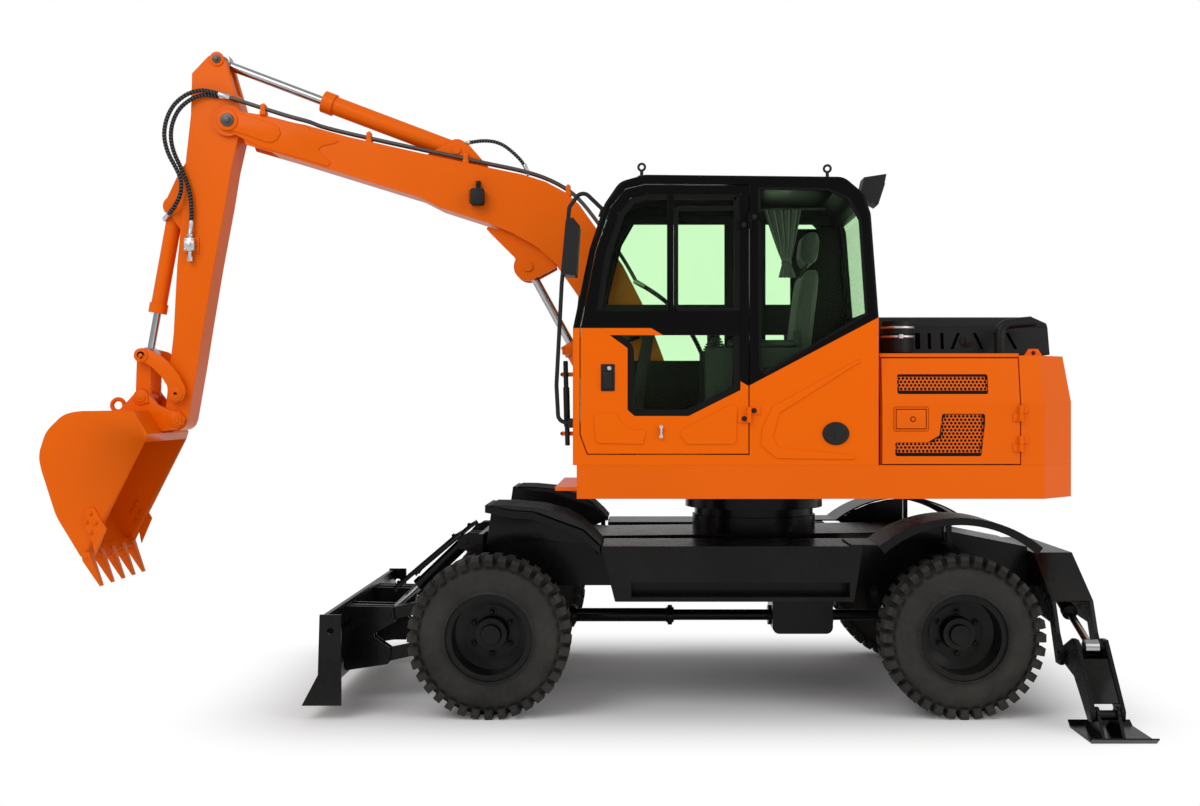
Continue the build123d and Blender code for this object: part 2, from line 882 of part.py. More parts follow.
ram_lug_half = 30.0 + side_gap
with BuildPart() as dozer_blade:
    with BuildSketch(Plane.XZ.offset(blade_half_width - blade_plate)) as mould:
        with BuildLine():
            face_line = ThreePointArc(
                (blade_top_x + 6, blade_top - 8), (blade_top_x + 8, mould_middle_z), (blade_tip_x + 12, blade_bottom)
            )
            back_line = ThreePointArc(
                (blade_tip_x + 50, blade_bottom), (blade_top_x + 30, mould_middle_z), (blade_top_x + 30, blade_top - 8)
            )
            Line(face_line @ 1, back_line @ 0)
            Line(back_line @ 1, face_line @ 0)
        make_face()
    extrude(mould.sketch, amount=-2 * (blade_half_width - blade_plate))
    for side in (-1, 1):
        slab_y(
            [
                (blade_top_x, blade_top),
                (blade_back_x, blade_top),
                (blade_back_x, blade_bottom),
                (blade_tip_x, blade_bottom),
                (-2369, 239),
            ],
            side * (blade_half_width - blade_plate),
            side * blade_half_width,
        )
        for y in (link_y - link_half - side_gap, link_y + link_half + side_gap + lug_plate):
            slab_y(
                [
                    (-2345, 160),
                    (-2345, blade_top - 30),
                    (blade_upper_pin[0] + 30, blade_upper_pin[1] + 45),
                    (blade_upper_pin[0] + 42, blade_upper_pin[1] - 40),
                    (-2190, 360),
                    (blade_lower_pin[0] + 42, blade_lower_pin[1] + 40),
                    (blade_lower_pin[0] + 30, blade_lower_pin[1] - 45),
                ],
                side * y,
                side * (y - lug_plate),
                corner=18,
            )
        for pin in (blade_lower_pin, blade_upper_pin):
            rod_y(
                pin,
                blade_pin_radius,
                side * (link_y - link_half - side_gap - lug_plate - 4),
                side * (link_y + link_half + side_gap + lug_plate + 4),
            )
        for y in (blade_ram_y - ram_lug_half, blade_ram_y + ram_lug_half + lug_plate):
            slab_y(
                [
                    (-2345, 420),
                    (-2345, blade_top - 30),
                    (blade_upper_pin[0] + 30, blade_upper_pin[1] + 42),
                    (blade_upper_pin[0] + 30, blade_upper_pin[1] - 42),
                ],
                side * y,
                side * (y - lug_plate),
                corner=18,
            )
            rod_y(blade_upper_pin, blade_pin_radius, side * (y + 4), side * (y - lug_plate - 1))
    block((-2338, -2300), (-(blade_half_width - blade_plate), blade_half_width - blade_plate), (380, 430))
    for side in (-1, 1):
        rod_y(
            lashing_hole,
            lashing_radius,
            side * (blade_half_width - blade_plate - 1),
            side * (blade_half_width + 1),
            Mode.SUBTRACT,
        )
keep("dozer_blade", dozer_blade)

blade_ram = ram_size(34, 18, 375, 40, 36, 60, blade_pin_radius, 60)
blade_ram_length = length_of(blade_ram_base, blade_ram_eye)


def both_rams(name, maker):
    first, second = (maker(side).part for side in (-1, 1))
    with BuildPart() as pair:
        add(first)
        add(second)
    keep(name, pair)


both_rams(
    "blade_barrels",
    lambda side: ram_barrel(ram_plane(blade_ram_base, blade_ram_eye, False, side * blade_ram_y), blade_ram),
)
both_rams(
    "blade_rods",
    lambda side: ram_rod(
        ram_plane(blade_ram_base, blade_ram_eye, False, side * blade_ram_y), blade_ram, blade_ram_length
    ),
)

# ---- Stabilisers ------------------------------------------------------------
leg_front_x = outrigger_front_x + outrigger_plate + side_gap
leg_rear_x = outrigger_rear_x - outrigger_plate - side_gap
half_outrigger = [
    (0, 821),
    (440, 821),
    (800, 600),
    (880, 440),
    (956, 350),
    (940, 280),
    (860, 280),
    (760, 480),
    (420, 500),
    (330, 560),
    (0, 560),
]
with BuildPart() as stabiliser_frame:
    for low, high in (
        (outrigger_front_x, outrigger_front_x + outrigger_plate),
        (outrigger_rear_x - outrigger_plate, outrigger_rear_x),
    ):
        slab_x(half_outrigger, low, high)
        slab_x(mirrored(half_outrigger), low, high)
    cover_outer = [(-800, 600), (-440, 821), (440, 821), (800, 600)]
    cover_inner = [(794, 592), (437, 811), (-437, 811), (-794, 592)]
    slab_x(cover_outer + cover_inner, outrigger_front_x, outrigger_rear_x)
    block((outrigger_front_x, outrigger_rear_x), (-230, 230), (560, 580))
    for side in (-1, 1):
        rod_x(
            (side * leg_hinge[0], leg_hinge[1]),
            leg_pin_radius,
            outrigger_front_x - 6,
            outrigger_rear_x + 6,
        )
        rod_x(
            (side * leg_ram_base[0], leg_ram_base[1]),
            leg_pin_radius,
            outrigger_front_x + 1,
            outrigger_rear_x + 6,
        )
keep("stabiliser_frame", stabiliser_frame)

leg_ram = ram_size(35, 20, 450, 41, 40, 70, leg_pin_radius, 70)
leg_ram_length = length_of(leg_ram_base, leg_ram_pin)
foot_lug_radius = 42.0


def leg(side):
    def across(points):
        return [(side * y, z) for y, z in points]

    with BuildPart() as piece:
        for low, high in (
            (leg_front_x, leg_front_x + leg_plate),
            (leg_rear_x - leg_plate, leg_rear_x),
        ):
            slab_x(
                across(
                    [
                        (858, 300),
                        (870, 362),
                        (1050, 442),
                        (1110, 442),
                        (1366, 130),
                        (1360, 76),
                        (1300, 72),
                        (1090, 250),
                    ]
                ),
                low,
                high,
                corner=14,
            )
        rod_x((side * leg_hinge[0], leg_hinge[1]), 46, leg_front_x, leg_rear_x)
        slab_x(
            across([(930, 290), (940, 310), (1060, 300), (1180, 200), (1160, 190), (1070, 262)]),
            leg_front_x,
            leg_rear_x,
        )
        rod_x(
            (side * leg_hinge[0], leg_hinge[1]),
            leg_pin_radius + pin_gap,
            leg_front_x,
            leg_rear_x,
            Mode.SUBTRACT,
        )
        for low, high in (
            (leg_front_x - 3, leg_front_x + leg_plate + 10),
            (leg_rear_x - leg_plate - 10, leg_rear_x + 3),
        ):
            rod_x((side * leg_ram_pin[0], leg_ram_pin[1]), leg_pin_radius, low, high)
        rod_x((side * foot_pin[0], foot_pin[1]), leg_pin_radius, leg_front_x - 3, leg_rear_x + 3)
    return piece


def pad(side):
    middle = side * pad_middle_y
    lug_front_x = leg_front_x + leg_plate + side_gap
    lug_rear_x = leg_rear_x - leg_plate - side_gap
    with BuildPart() as piece:
        slab_x(
            [
                (middle - pad_width / 2, 28),
                (middle - pad_width / 2 + 40, 0),
                (middle + pad_width / 2 - 40, 0),
                (middle + pad_width / 2, 28),
                (middle + pad_width / 2 - 5, 34),
                (middle + pad_width / 2 - 45, pad_thickness / 2),
                (middle - pad_width / 2 + 45, pad_thickness / 2),
                (middle - pad_width / 2 + 5, 34),
            ],
            pad_front_x,
            pad_front_x + pad_length,
        )
        for low, high in ((lug_front_x, lug_front_x + 16), (lug_rear_x - 16, lug_rear_x)):
            slab_x(
                [
                    (middle - 130, 5),
                    (side * foot_pin[0] - foot_lug_radius, foot_pin[1]),
                    (side * foot_pin[0], foot_pin[1] + 8),
                    (side * foot_pin[0] + foot_lug_radius, foot_pin[1]),
                    (middle + 130, 5),
                ],
                low,
                high,
            )
            rod_x((side * foot_pin[0], foot_pin[1]), foot_lug_radius, low, high)
        rod_x(
            (side * foot_pin[0], foot_pin[1]),
            leg_pin_radius + pin_gap,
            lug_front_x,
            lug_rear_x,
            Mode.SUBTRACT,
        )
    return piece


for name, side in (("left", -1), ("right", 1)):
    keep(f"stabiliser_leg_{name}", leg(side))
    keep(f"stabiliser_pad_{name}", pad(side))
    start = (side * leg_ram_base[0], leg_ram_base[1])
    end = (side * leg_ram_pin[0], leg_ram_pin[1])
    plane = ram_plane(start, end, True, outrigger_mid_x)
    keep(f"stabiliser_barrel_{name}", ram_barrel(plane, leg_ram))
    keep(f"stabiliser_rod_{name}", ram_rod(plane, leg_ram, leg_ram_length))

# ---- Upper frame ------------------------------------------------------------
bracket_inner = boom_half + bracket_gap
slot_half = bracket_inner
boom_bracket = [
    (-150, platform_bottom + 1),
    (-150, deck_top),
    (-370, 1560),
    (-420, 1590),
    (-520, 1590),
    (-570, 1540),
    (-790, 1390),
    (-810, 1300),
    (-740, platform_bottom + 1),
]
with BuildPart() as platform:
    with BuildSketch(Plane.XY.offset(platform_bottom)) as plan:
        with BuildLine():
            Polyline(
                (tail_side_x, tail_side_y),
                (tail_corner_x, body_half_width),
                (platform_front_x, body_half_width),
                (platform_front_x, -body_half_width),
                (tail_corner_x, -body_half_width),
                (tail_side_x, -tail_side_y),
            )
            ThreePointArc((tail_side_x, -tail_side_y), (tail_x, 0), (tail_side_x, tail_side_y))
        make_face()
    extrude(plan.sketch, amount=deck_top - platform_bottom)
    block(
        (platform_front_x + 15, -770),
        (boom_y + slot_half + 60, body_half_width - 15),
        (platform_bottom + 15, deck_top - 15),
        Mode.SUBTRACT,
    )
    block(
        (platform_front_x + 15, -770),
        (cab_left_y + 15, boom_y - slot_half - 60),
        (platform_bottom + 15, deck_top - 15),
        Mode.SUBTRACT,
    )
    for y_range in ((-985, -40), (240, 985)):
        block((-750, 620), y_range, (platform_bottom + 20, deck_top - 15), Mode.SUBTRACT)
    block((640, 1420), (-985, 985), (platform_bottom + 20, deck_top - 15), Mode.SUBTRACT)
    block(
        (platform_front_x - 5, -640),
        (boom_y - slot_half, boom_y + slot_half),
        (platform_bottom - 5, deck_top + 5),
        Mode.SUBTRACT,
    )
    for side in (-1, 1):
        slab_y(
            boom_bracket,
            boom_y + side * bracket_inner,
            boom_y + side * (bracket_inner + bracket_plate),
        )
        rod_y(
            boom_foot,
            95,
            boom_y + side * bracket_inner,
            boom_y + side * (bracket_inner + bracket_plate),
        )
        rod_y(
            boom_ram_base,
            main_pin_radius,
            boom_y + side * 55,
            boom_y + side * (bracket_inner + bracket_plate + 10),
        )
    rod_y(boom_ram_base, main_pin_radius, boom_y - 60, boom_y + 60)
    rod_y(
        boom_foot,
        main_pin_radius + 10,
        boom_y - bracket_inner - bracket_plate - 12,
        boom_y + bracket_inner + bracket_plate + 12,
    )
    block(
        (step_nose_x, platform_front_x),
        (cab_left_y + 40, boom_y - slot_half - 20),
        (platform_bottom + 40, platform_bottom + 60),
    )
keep("platform", platform)


def lean_at(z):
    """How far the body's side stands in from its full width at a height."""
    share = (z - side_panel_crease) / (counterweight_top - side_panel_crease)
    return side_lean * max(0.0, share)


def tail_plan(z, drawn_in, front_x):
    """Plan of the rear corners and tail, drawn in from the outside."""
    side_y = body_half_width - drawn_in
    corner_x = tail_corner_x - drawn_in * 0.4
    end_x = tail_side_x - drawn_in * 0.9
    end_y = tail_side_y - drawn_in * 0.4
    with BuildSketch(Plane.XY.offset(z)) as plan:
        with BuildLine():
            Polyline(
                (end_x, end_y),
                (corner_x, side_y),
                (front_x, side_y),
                (front_x, -side_y),
                (corner_x, -side_y),
                (end_x, -end_y),
            )
            ThreePointArc((end_x, -end_y), (tail_x - drawn_in, 0), (end_x, end_y))
        make_face()
    return plan.sketch


with BuildPart() as counterweight:
    weight_foot = tail_plan(deck_top, 0, counterweight_front_x)
    extrude(weight_foot, amount=side_panel_crease - deck_top)
    loft(
        [
            tail_plan(side_panel_crease, 0, counterweight_front_x).faces()[0],
            tail_plan(counterweight_top, side_lean, counterweight_front_x).faces()[0],
        ],
        ruled=True,
    )
    weight_hollow = tail_plan(deck_top + 60, counterweight_wall, counterweight_front_x - 5)
    extrude(weight_hollow, amount=counterweight_top, mode=Mode.SUBTRACT)
    for side in (-1, 1):
        start = side * (lifting_eye_y - lifting_eye_plate / 2)
        end = side * (lifting_eye_y + lifting_eye_plate / 2)
        slab_y(
            [
                (lifting_eye_x - 48, counterweight_top - 2),
                (lifting_eye_x - 24, counterweight_top + 36),
                (lifting_eye_x + 24, counterweight_top + 36),
                (lifting_eye_x + 48, counterweight_top - 2),
            ],
            start,
            end,
        )
        rod_y(
            (lifting_eye_x, counterweight_top + 14),
            lifting_eye_radius,
            start - side,
            end + side,
            Mode.SUBTRACT,
        )
    for side in (-1, 1):
        block(
            (hood_hinge[0] - hinge_radius, hood_hinge[0] + hinge_radius),
            (side * hood_hinge_y, side * (hood_hinge_y + 30)),
            (counterweight_top - 1, hood_hinge[1]),
        )
        rod_y(hood_hinge, hinge_radius, side * hood_hinge_y, side * (hood_hinge_y + 30))
        rod_y(hood_hinge, hinge_pin, side * hood_hinge_y, side * (hood_hinge_y + 60))
        for z in side_hinge_heights:
            axis = (side_hinge[0], side * side_hinge[1])
            start = z + knuckle_length + seat_gap
            rod_z(axis, hinge_radius, start, start + knuckle_length)
            rod_z(axis, hinge_pin, z, start + 1)
            block(
                (side_hinge[0], side_hinge[0] + 40),
                (side * (body_half_width - 1), side * (body_half_width + 6)),
                (start, start + knuckle_length),
            )
keep("counterweight", counterweight)

with BuildPart() as engine:
    block(
        (engine_front_x, engine_front_x + engine_length),
        (-engine_half_width, engine_half_width),
        (deck_top, deck_top + engine_height),
    )
keep("engine", engine)

shoulder_z = side_panel_top - 20
shoulder_outer = body_half_width - lean_at(side_panel_top)
bulkhead_outer = body_half_width - door_skin - panel_gap
with BuildPart() as engine_frame:
    for side in (-1, 1):
        block(
            (side_panel_front_x, counterweight_front_x),
            (side * (hood_half_width - 40), side * shoulder_outer),
            (shoulder_z, side_panel_top),
        )
        bulkhead = [
            (deck_top, bulkhead_outer),
            (side_panel_crease, bulkhead_outer),
            (shoulder_z, bulkhead_outer - lean_at(shoulder_z)),
        ]
        for start, end, inner in (
            (side_panel_front_x, side_panel_front_x + 20, 40),
            (counterweight_front_x - 26, counterweight_front_x, body_half_width - 140),
        ):
            slab_x(
                [(side * y, z) for z, y in bulkhead]
                + [(side * inner, shoulder_z), (side * inner, deck_top)],
                start,
                end,
            )
        for z in (deck_top + 90, side_panel_crease - 60):
            block(
                (counterweight_front_x - 26, counterweight_front_x - 8),
                (side * (body_half_width - 50), side * (body_half_width - door_skin - seat_gap)),
                (z - 35, z + 35),
            )
    block(
        (side_panel_front_x, side_panel_front_x + 20),
        (-60, 60),
        (deck_top, shoulder_z),
    )
keep("engine_frame", engine_frame)

# Grilles of the side doors: the upper one, and the stepped one below it, as (X, Z)
upper_grille = [(673, 1713), (1150, 1713), (1150, 1817), (673, 1817)]
lower_grille = [
    (906, 1609),
    (1131, 1609),
    (1131, 1560),
    (1112, 1387),
    (660, 1387),
    (660, 1460),
    (830, 1460),
    (892, 1496),
]
latch_box = [(651, 1517), (835, 1517), (835, 1646), (651, 1646)]
grille_set_in = 5.0           # from the door's skin, 6 mm thick, to the plate in a grille
grille_plate = 4.0


def side_door(side):
    low = deck_top + panel_gap
    high = shoulder_z - panel_gap
    front = side_panel_front_x + panel_gap
    rear = counterweight_front_x - panel_gap

    def skin(outside, inside, low, high):
        """Section of the door's skin between two depths from its outer face."""
        line = [(0, low), (0, side_panel_crease), (lean_at(high), high)]
        outer = [(side * (body_half_width - outside - lean), z) for lean, z in line]
        inner = [(side * (body_half_width - inside - lean), z) for lean, z in reversed(line)]
        return outer + inner

    with BuildPart() as piece:
        slab_x(skin(0, door_skin, low, high), front, rear)
        slab_x(skin(6, door_skin + 1, low + 25, high - 25), front + 25, rear - 25, Mode.SUBTRACT)
        for outline in (upper_grille, lower_grille, latch_box):
            depth = side * (body_half_width - 80)
            slab_y(outline, side * (body_half_width + 5), depth, Mode.SUBTRACT, corner=12)
        with BuildPart() as backing:
            for outline in (upper_grille, lower_grille, latch_box):
                slab_y(
                    outline,
                    side * (body_half_width + 5),
                    side * (body_half_width - 80),
                    grow=8,
                )
            depth = grille_set_in + grille_plate
            slab_x(skin(grille_set_in, depth, low, high), front, rear, Mode.INTERSECT)
        for z in side_hinge_heights:
            axis = (side_hinge[0], side * side_hinge[1])
            rod_z(axis, hinge_radius, z, z + knuckle_length)
            block(
                (side_hinge[0] - 40, side_hinge[0]),
                (side * (body_half_width - 1), side * (body_half_width + 6)),
                (z, z + knuckle_length),
            )
            rod_z(axis, hinge_pin + pin_gap, z, z + knuckle_length, Mode.SUBTRACT)
    return piece


keep("side_door_left", side_door(-1))
keep("side_door_right", side_door(1))

def hood_form(wall, low):
    """The hood's outer form, or the space inside a wall."""
    with BuildPart() as form:
        section = [
            (-hood_half_width + wall, low),
            (-hood_half_width + 25 + wall, hood_top - 60 - wall / 2),
            (-hood_half_width + 90, hood_top - wall),
        ]
        slab_x(section + mirrored(section), hood_front_x + wall, hood_rear_x - wall)
        slab_y(
            [
                (hood_front_x + wall, low),
                (hood_front_x + 40 + wall, hood_top - wall),
                (hood_rear_x - 72 - wall, hood_top - wall),
                (hood_rear_x - 6 - wall, hood_top - 38 - wall),
                (hood_rear_x - wall, low),
            ],
            -hood_half_width,
            hood_half_width,
            Mode.INTERSECT,
        )
    return form.part


# Slots in the hood's sides: low X, high X, and how far the top leans along X
hood_slots = (
    (856, 883, 0),
    (926, 944, 0),
    (997, 1015, 0),
    (1051, 1068, 40),
    (1219, 1237, -40),
    (1335, 1353, -44),
    (1406, 1424, -44),
)
hood_slot_heights = (1966.0, 2056.0)
with BuildPart() as hood:
    add(hood_form(0, hood_low))
    fillet(
        hood.edges().filter_by(Axis.X).filter_by_position(Axis.Z, hood_low + 20, hood_top + 1),
        hood_edge_radius,
    )
    add(hood_form(hood_wall, hood_low - 1), mode=Mode.SUBTRACT)
    low, high = hood_slot_heights
    for side in (-1, 1):
        for start, end, lean in hood_slots:
            slab_y(
                [(start, low), (end, low), (end + lean, high), (start + lean, high)],
                side * (hood_half_width + 5),
                side * (hood_half_width - 60),
                Mode.SUBTRACT,
            )
    for side in (-1, 1):
        start = side * (hood_hinge_y + 30 + seat_gap)
        end = side * (hood_hinge_y + 60)
        rod_y(hood_hinge, hinge_radius, start, end)
        block((hood_rear_x - 4, hood_hinge[0]), (start, end), (hood_hinge[1] - 5, hood_hinge[1] + 12))
        rod_y(hood_hinge, hinge_pin + pin_gap, start, end, Mode.SUBTRACT)
keep("engine_hood", hood)

shoulder_seat = side_panel_top + seat_gap
with BuildPart() as exhaust_and_cleaner:
    rod_z(cleaner_place, cleaner_radius - 14, shoulder_seat, shoulder_seat + 12)
    rod_z(cleaner_place, cleaner_radius - 6, shoulder_seat + 12, shoulder_seat + 112)
    rod_z(cleaner_place, cleaner_radius, shoulder_seat + 112, shoulder_seat + 182)
    rod_z(exhaust_place, exhaust_radius + 12, shoulder_seat, shoulder_seat + 10)
    exhaust_x, exhaust_y = exhaust_place
    with BuildSketch(Plane.XY.offset(shoulder_seat)) as exhaust_section:
        with Locations(exhaust_place):
            Circle(exhaust_radius)
    with BuildLine() as exhaust_path:
        FilletPolyline(
            (exhaust_x, exhaust_y, shoulder_seat),
            (exhaust_x, exhaust_y, exhaust_top),
            (exhaust_x + exhaust_reach, exhaust_y, exhaust_top + 18),
            radius=60,
        )
    sweep(sections=exhaust_section.sketch, path=exhaust_path.wire())
    slab_y(
        [
            (exhaust_x + exhaust_reach - 40, exhaust_top + 60),
            (exhaust_x + exhaust_reach + 30, exhaust_top - 60),
            (exhaust_x + exhaust_reach + 30, exhaust_top + 60),
        ],
        exhaust_y - exhaust_radius - 5,
        exhaust_y + exhaust_radius + 5,
        Mode.SUBTRACT,
    )
keep("exhaust_and_cleaner", exhaust_and_cleaner)

with BuildPart() as right_housing:
    slab_x(
        [
            (right_housing_inner_y, deck_top),
            (body_half_width, deck_top),
            (body_half_width, right_housing_top - 60),
            (body_half_width - 70, right_housing_top),
            (right_housing_inner_y, right_housing_top),
        ],
        right_housing_front_x,
        side_panel_front_x - panel_gap,
    )
    block(
        (right_housing_front_x + housing_wall, side_panel_front_x - panel_gap - housing_wall),
        (right_housing_inner_y + housing_wall, body_half_width - housing_wall),
        (deck_top + housing_wall, right_housing_top - 60 - housing_wall),
        Mode.SUBTRACT,
    )
    block(
        (platform_front_x + 60, right_housing_front_x),
        (right_housing_inner_y + 120, body_half_width),
        (deck_top, deck_top + 260),
    )
    block(
        (platform_front_x + 85, right_housing_front_x + 10),
        (right_housing_inner_y + 145, body_half_width - 25),
        (deck_top + 25, deck_top + 235),
        Mode.SUBTRACT,
    )
keep("right_housing", right_housing)

# ---- Cab --------------------------------------------------------------------
cab_outline = [
    (-1032, deck_top),
    (-1032, 2059),
    (-943, 2478),
    (-865, 2714),
    (-786, 2829),
    (-655, 2866),
    (393, 2855),
    (498, 2766),
    (534, 2662),
    (cab_rear_x, 2111),
    (cab_rear_x, deck_top),
]
door_outline = [
    (-953, door_bottom),
    (-990, 1500),
    (-990, 2059),
    (-905, 2470),
    (-830, 2690),
    (-755, 2785),
    (-655, 2810),
    (door_hinge_x, 2806),
    (door_hinge_x, door_bottom),
]
door_window = [
    (-924, 2085),
    (-744, 1954),
    (-744, 1629),
    (-707, 1598),
    (-424, 1598),
    (-152, 1734),
    (-152, 2766),
    (-645, 2768),
    (-730, 2742),
    (-792, 2664),
    (-866, 2455),
]
quarter_window = [
    (-61, 2800),
    (308, 2795),
    (425, 2744),
    (484, 2628),
    (518, 2130),
    (-21, 1813),
    (-55, 1842),
]
right_window = [
    (-880, 1700),
    (-880, 2280),
    (-800, 2600),
    (-720, 2740),
    (340, 2740),
    (440, 2640),
    (490, 2160),
    (490, 1700),
]
# Pressings in the lower panels
quarter_ridge = [
    (473, 1898),
    (18, 1648),
    (-38, 1535),
    (-44, 1444),
    (36, 1376),
    (444, 1370),
    (444, 1393),
    (47, 1432),
    (18, 1489),
    (53, 1614),
    (473, 1881),
]
front_pressing = [
    (-919, 1603),
    (-901, 1614),
    (-805, 1614),
    (-771, 1558),
    (-726, 1527),
    (-657, 1527),
    (-646, 1512),
    (-663, 1450),
    (-896, 1455),
    (-913, 1472),
]
rear_pressing = [
    (-470, 1500),
    (-458, 1524),
    (-214, 1654),
    (-186, 1660),
    (-169, 1642),
    (-174, 1466),
    (-192, 1450),
    (-430, 1450),
]
windscreen = [(-960, 1560), (-960, 2700), (-160, 2700), (-160, 1560)]
rear_window = [(-920, 2150), (-920, 2700), (-160, 2700), (-160, 2150)]
with BuildPart() as cab_frame:
    slab_y(cab_outline, cab_left_y, cab_right_y)
    upper_edges = cab_frame.edges().filter_by(Axis.Y).filter_by_position(Axis.Z, 2000, 2900)
    fillet(upper_edges, cab_bend_radius)
    for face in (cab_frame.faces().sort_by(Axis.Y)[0], cab_frame.faces().sort_by(Axis.Y)[-1]):
        fillet(face.edges().sort_by(Axis.Z)[1:], cab_edge_radius)
    slab_y(
        cab_outline,
        cab_left_y + cab_wall,
        cab_right_y - cab_wall,
        Mode.SUBTRACT,
        grow=-cab_wall,
    )
    slab_y(door_outline, cab_left_y - 5, cab_left_y + cab_wall + 5, Mode.SUBTRACT, grow=panel_gap)
    slab_y(quarter_window, cab_left_y - 5, cab_left_y + cab_wall + 5, Mode.SUBTRACT)
    slab_y(right_window, cab_right_y - cab_wall - 5, cab_right_y + 5, Mode.SUBTRACT)
    slab_x(windscreen, -1100, -650, Mode.SUBTRACT)
    slab_x(rear_window, 480, 600, Mode.SUBTRACT)
    for z in door_hinge_heights:
        rod_z(door_axis, hinge_radius, z + seat_gap, z + knuckle_length)
        block(
            (door_axis[0], door_axis[0] + 60),
            (cab_left_y, cab_left_y - 6),
            (z + seat_gap, z + knuckle_length),
        )
        rod_z(door_axis, hinge_pin, z - knuckle_length, z + seat_gap)
    slab_y(quarter_ridge, cab_left_y + 1, cab_left_y - pressing)
keep("cab_frame", cab_frame)

with BuildPart() as cab_glass:
    pane_left = cab_left_y + cab_wall / 2
    pane_right = cab_right_y - cab_wall / 2
    slab_y(quarter_window, pane_left, pane_left + glass_thickness, grow=-seat_gap)
    slab_y(right_window, pane_right, pane_right - glass_thickness, grow=-seat_gap)
    screens = (               # line of the cab's outside, the opening, and the way in
        (cab_outline[0:4], windscreen, 1),
        (cab_outline[10:6:-1], rear_window, -1),
    )
    for line, opening, inwards in screens:
        near = [(x + inwards * screen_depth, z) for x, z in line]
        far = [(x + inwards * glass_thickness, z) for x, z in reversed(near)]
        widths = [y for y, z in opening]
        heights = [z for y, z in opening]
        with BuildPart(mode=Mode.PRIVATE) as pane:
            slab_y(near + far, min(widths) + seat_gap, max(widths) - seat_gap)
            block(
                (-1100, 600),
                (min(widths), max(widths)),
                (min(heights) + seat_gap, max(heights) - seat_gap),
                Mode.INTERSECT,
            )
        add(pane.part)
keep("cab_glass", cab_glass)

with BuildPart() as cab_door:
    slab_y(door_outline, cab_left_y, cab_left_y + cab_wall)
    slab_y(door_window, cab_left_y - 5, cab_left_y + cab_wall + 5, Mode.SUBTRACT)
    bar_depth = (cab_left_y + 3, cab_left_y + cab_wall / 2 - seat_gap)
    block((-945, -140), bar_depth, (2022, 2148))
    block((-535, -503), bar_depth, (2140, 2785))
    for panel in (front_pressing, rear_pressing):
        slab_y(panel, cab_left_y + 1, cab_left_y - pressing)
    for z in door_hinge_heights:
        rod_z(door_axis, hinge_radius, z - knuckle_length, z)
        block(
            (door_axis[0] - 60, door_axis[0]),
            (cab_left_y, cab_left_y - 6),
            (z - knuckle_length, z),
        )
        rod_z(door_axis, hinge_pin + pin_gap, z - knuckle_length, z, Mode.SUBTRACT)
keep("cab_door", cab_door)

with BuildPart() as door_glass:
    slab_y(
        door_window,
        cab_left_y + cab_wall / 2,
        cab_left_y + cab_wall / 2 + glass_thickness,
        grow=-seat_gap,
    )
keep("door_glass", door_glass)

seat_y = (cab_left_y + cab_right_y) / 2
with BuildPart() as operator_seat:
    block((-300, 190), (seat_y - 240, seat_y + 240), (1790, 1900))
    slab_y([(120, 1900), (180, 2420), (270, 2400), (230, 1900)], seat_y - 230, seat_y + 230, corner=20)
keep("operator_seat", operator_seat)

cab_floor = deck_top + cab_wall
with BuildPart() as cab_controls:
    block((-180, 180), (seat_y - 180, seat_y + 180), (cab_floor, 1790 - seat_gap))
    for side in (-1, 1):
        block(
            (-330, 190),
            (seat_y + side * 270, seat_y + side * 380),
            (cab_floor, 1960),
        )
        rod_z((-270, seat_y + side * 325), 18, 1959, 2130)
    slab_y(
        [(-800, cab_floor), (-660, 2050), (-600, 2050), (-700, cab_floor)],
        seat_y - 50,
        seat_y + 50,
    )
keep("cab_controls", cab_controls)

rail_y = -950.0
rail_radius = 11.0
pillar_low, pillar_high = cab_outline[2], cab_outline[3]
plate_ends = [between(pillar_low, pillar_high, share) for share in (0.72, 0.94)]
plate_out = (-11.4, 3.8)
rail_route = [
    (-878, 2690),
    (-985, 2793),
    (-1052, 2700),
    (-1092, 2300),
    (-1120, 1760),
    (-1110, 1570),
    (-1050, 1560),
]
with BuildPart() as rail_and_mirror:
    with BuildLine() as rail_path:
        FilletPolyline(*[(x, rail_y, z) for x, z in rail_route], radius=42)
    with BuildSketch(Plane(origin=rail_path.wire() @ 0, z_dir=rail_path.wire() % 0)) as rail_section:
        Circle(rail_radius)
    sweep(sections=rail_section.sketch, path=rail_path.wire())
    slab_y(
        plate_ends + [(x + plate_out[0], z + plate_out[1]) for x, z in reversed(plate_ends)],
        rail_y - 20,
        rail_y + 20,
    )
    block((cab_outline[0][0] - 26, cab_outline[0][0]), (rail_y - 20, rail_y + 20), (1535, 1585))
    slab_y(
        [(-1092, 2340), (-1010, 2328), (-992, 2590), (-1030, 2635), (-1066, 2620)],
        rail_y - 100,
        rail_y + 60,
        corner=12,
    )
keep("rail_and_mirror", rail_and_mirror)

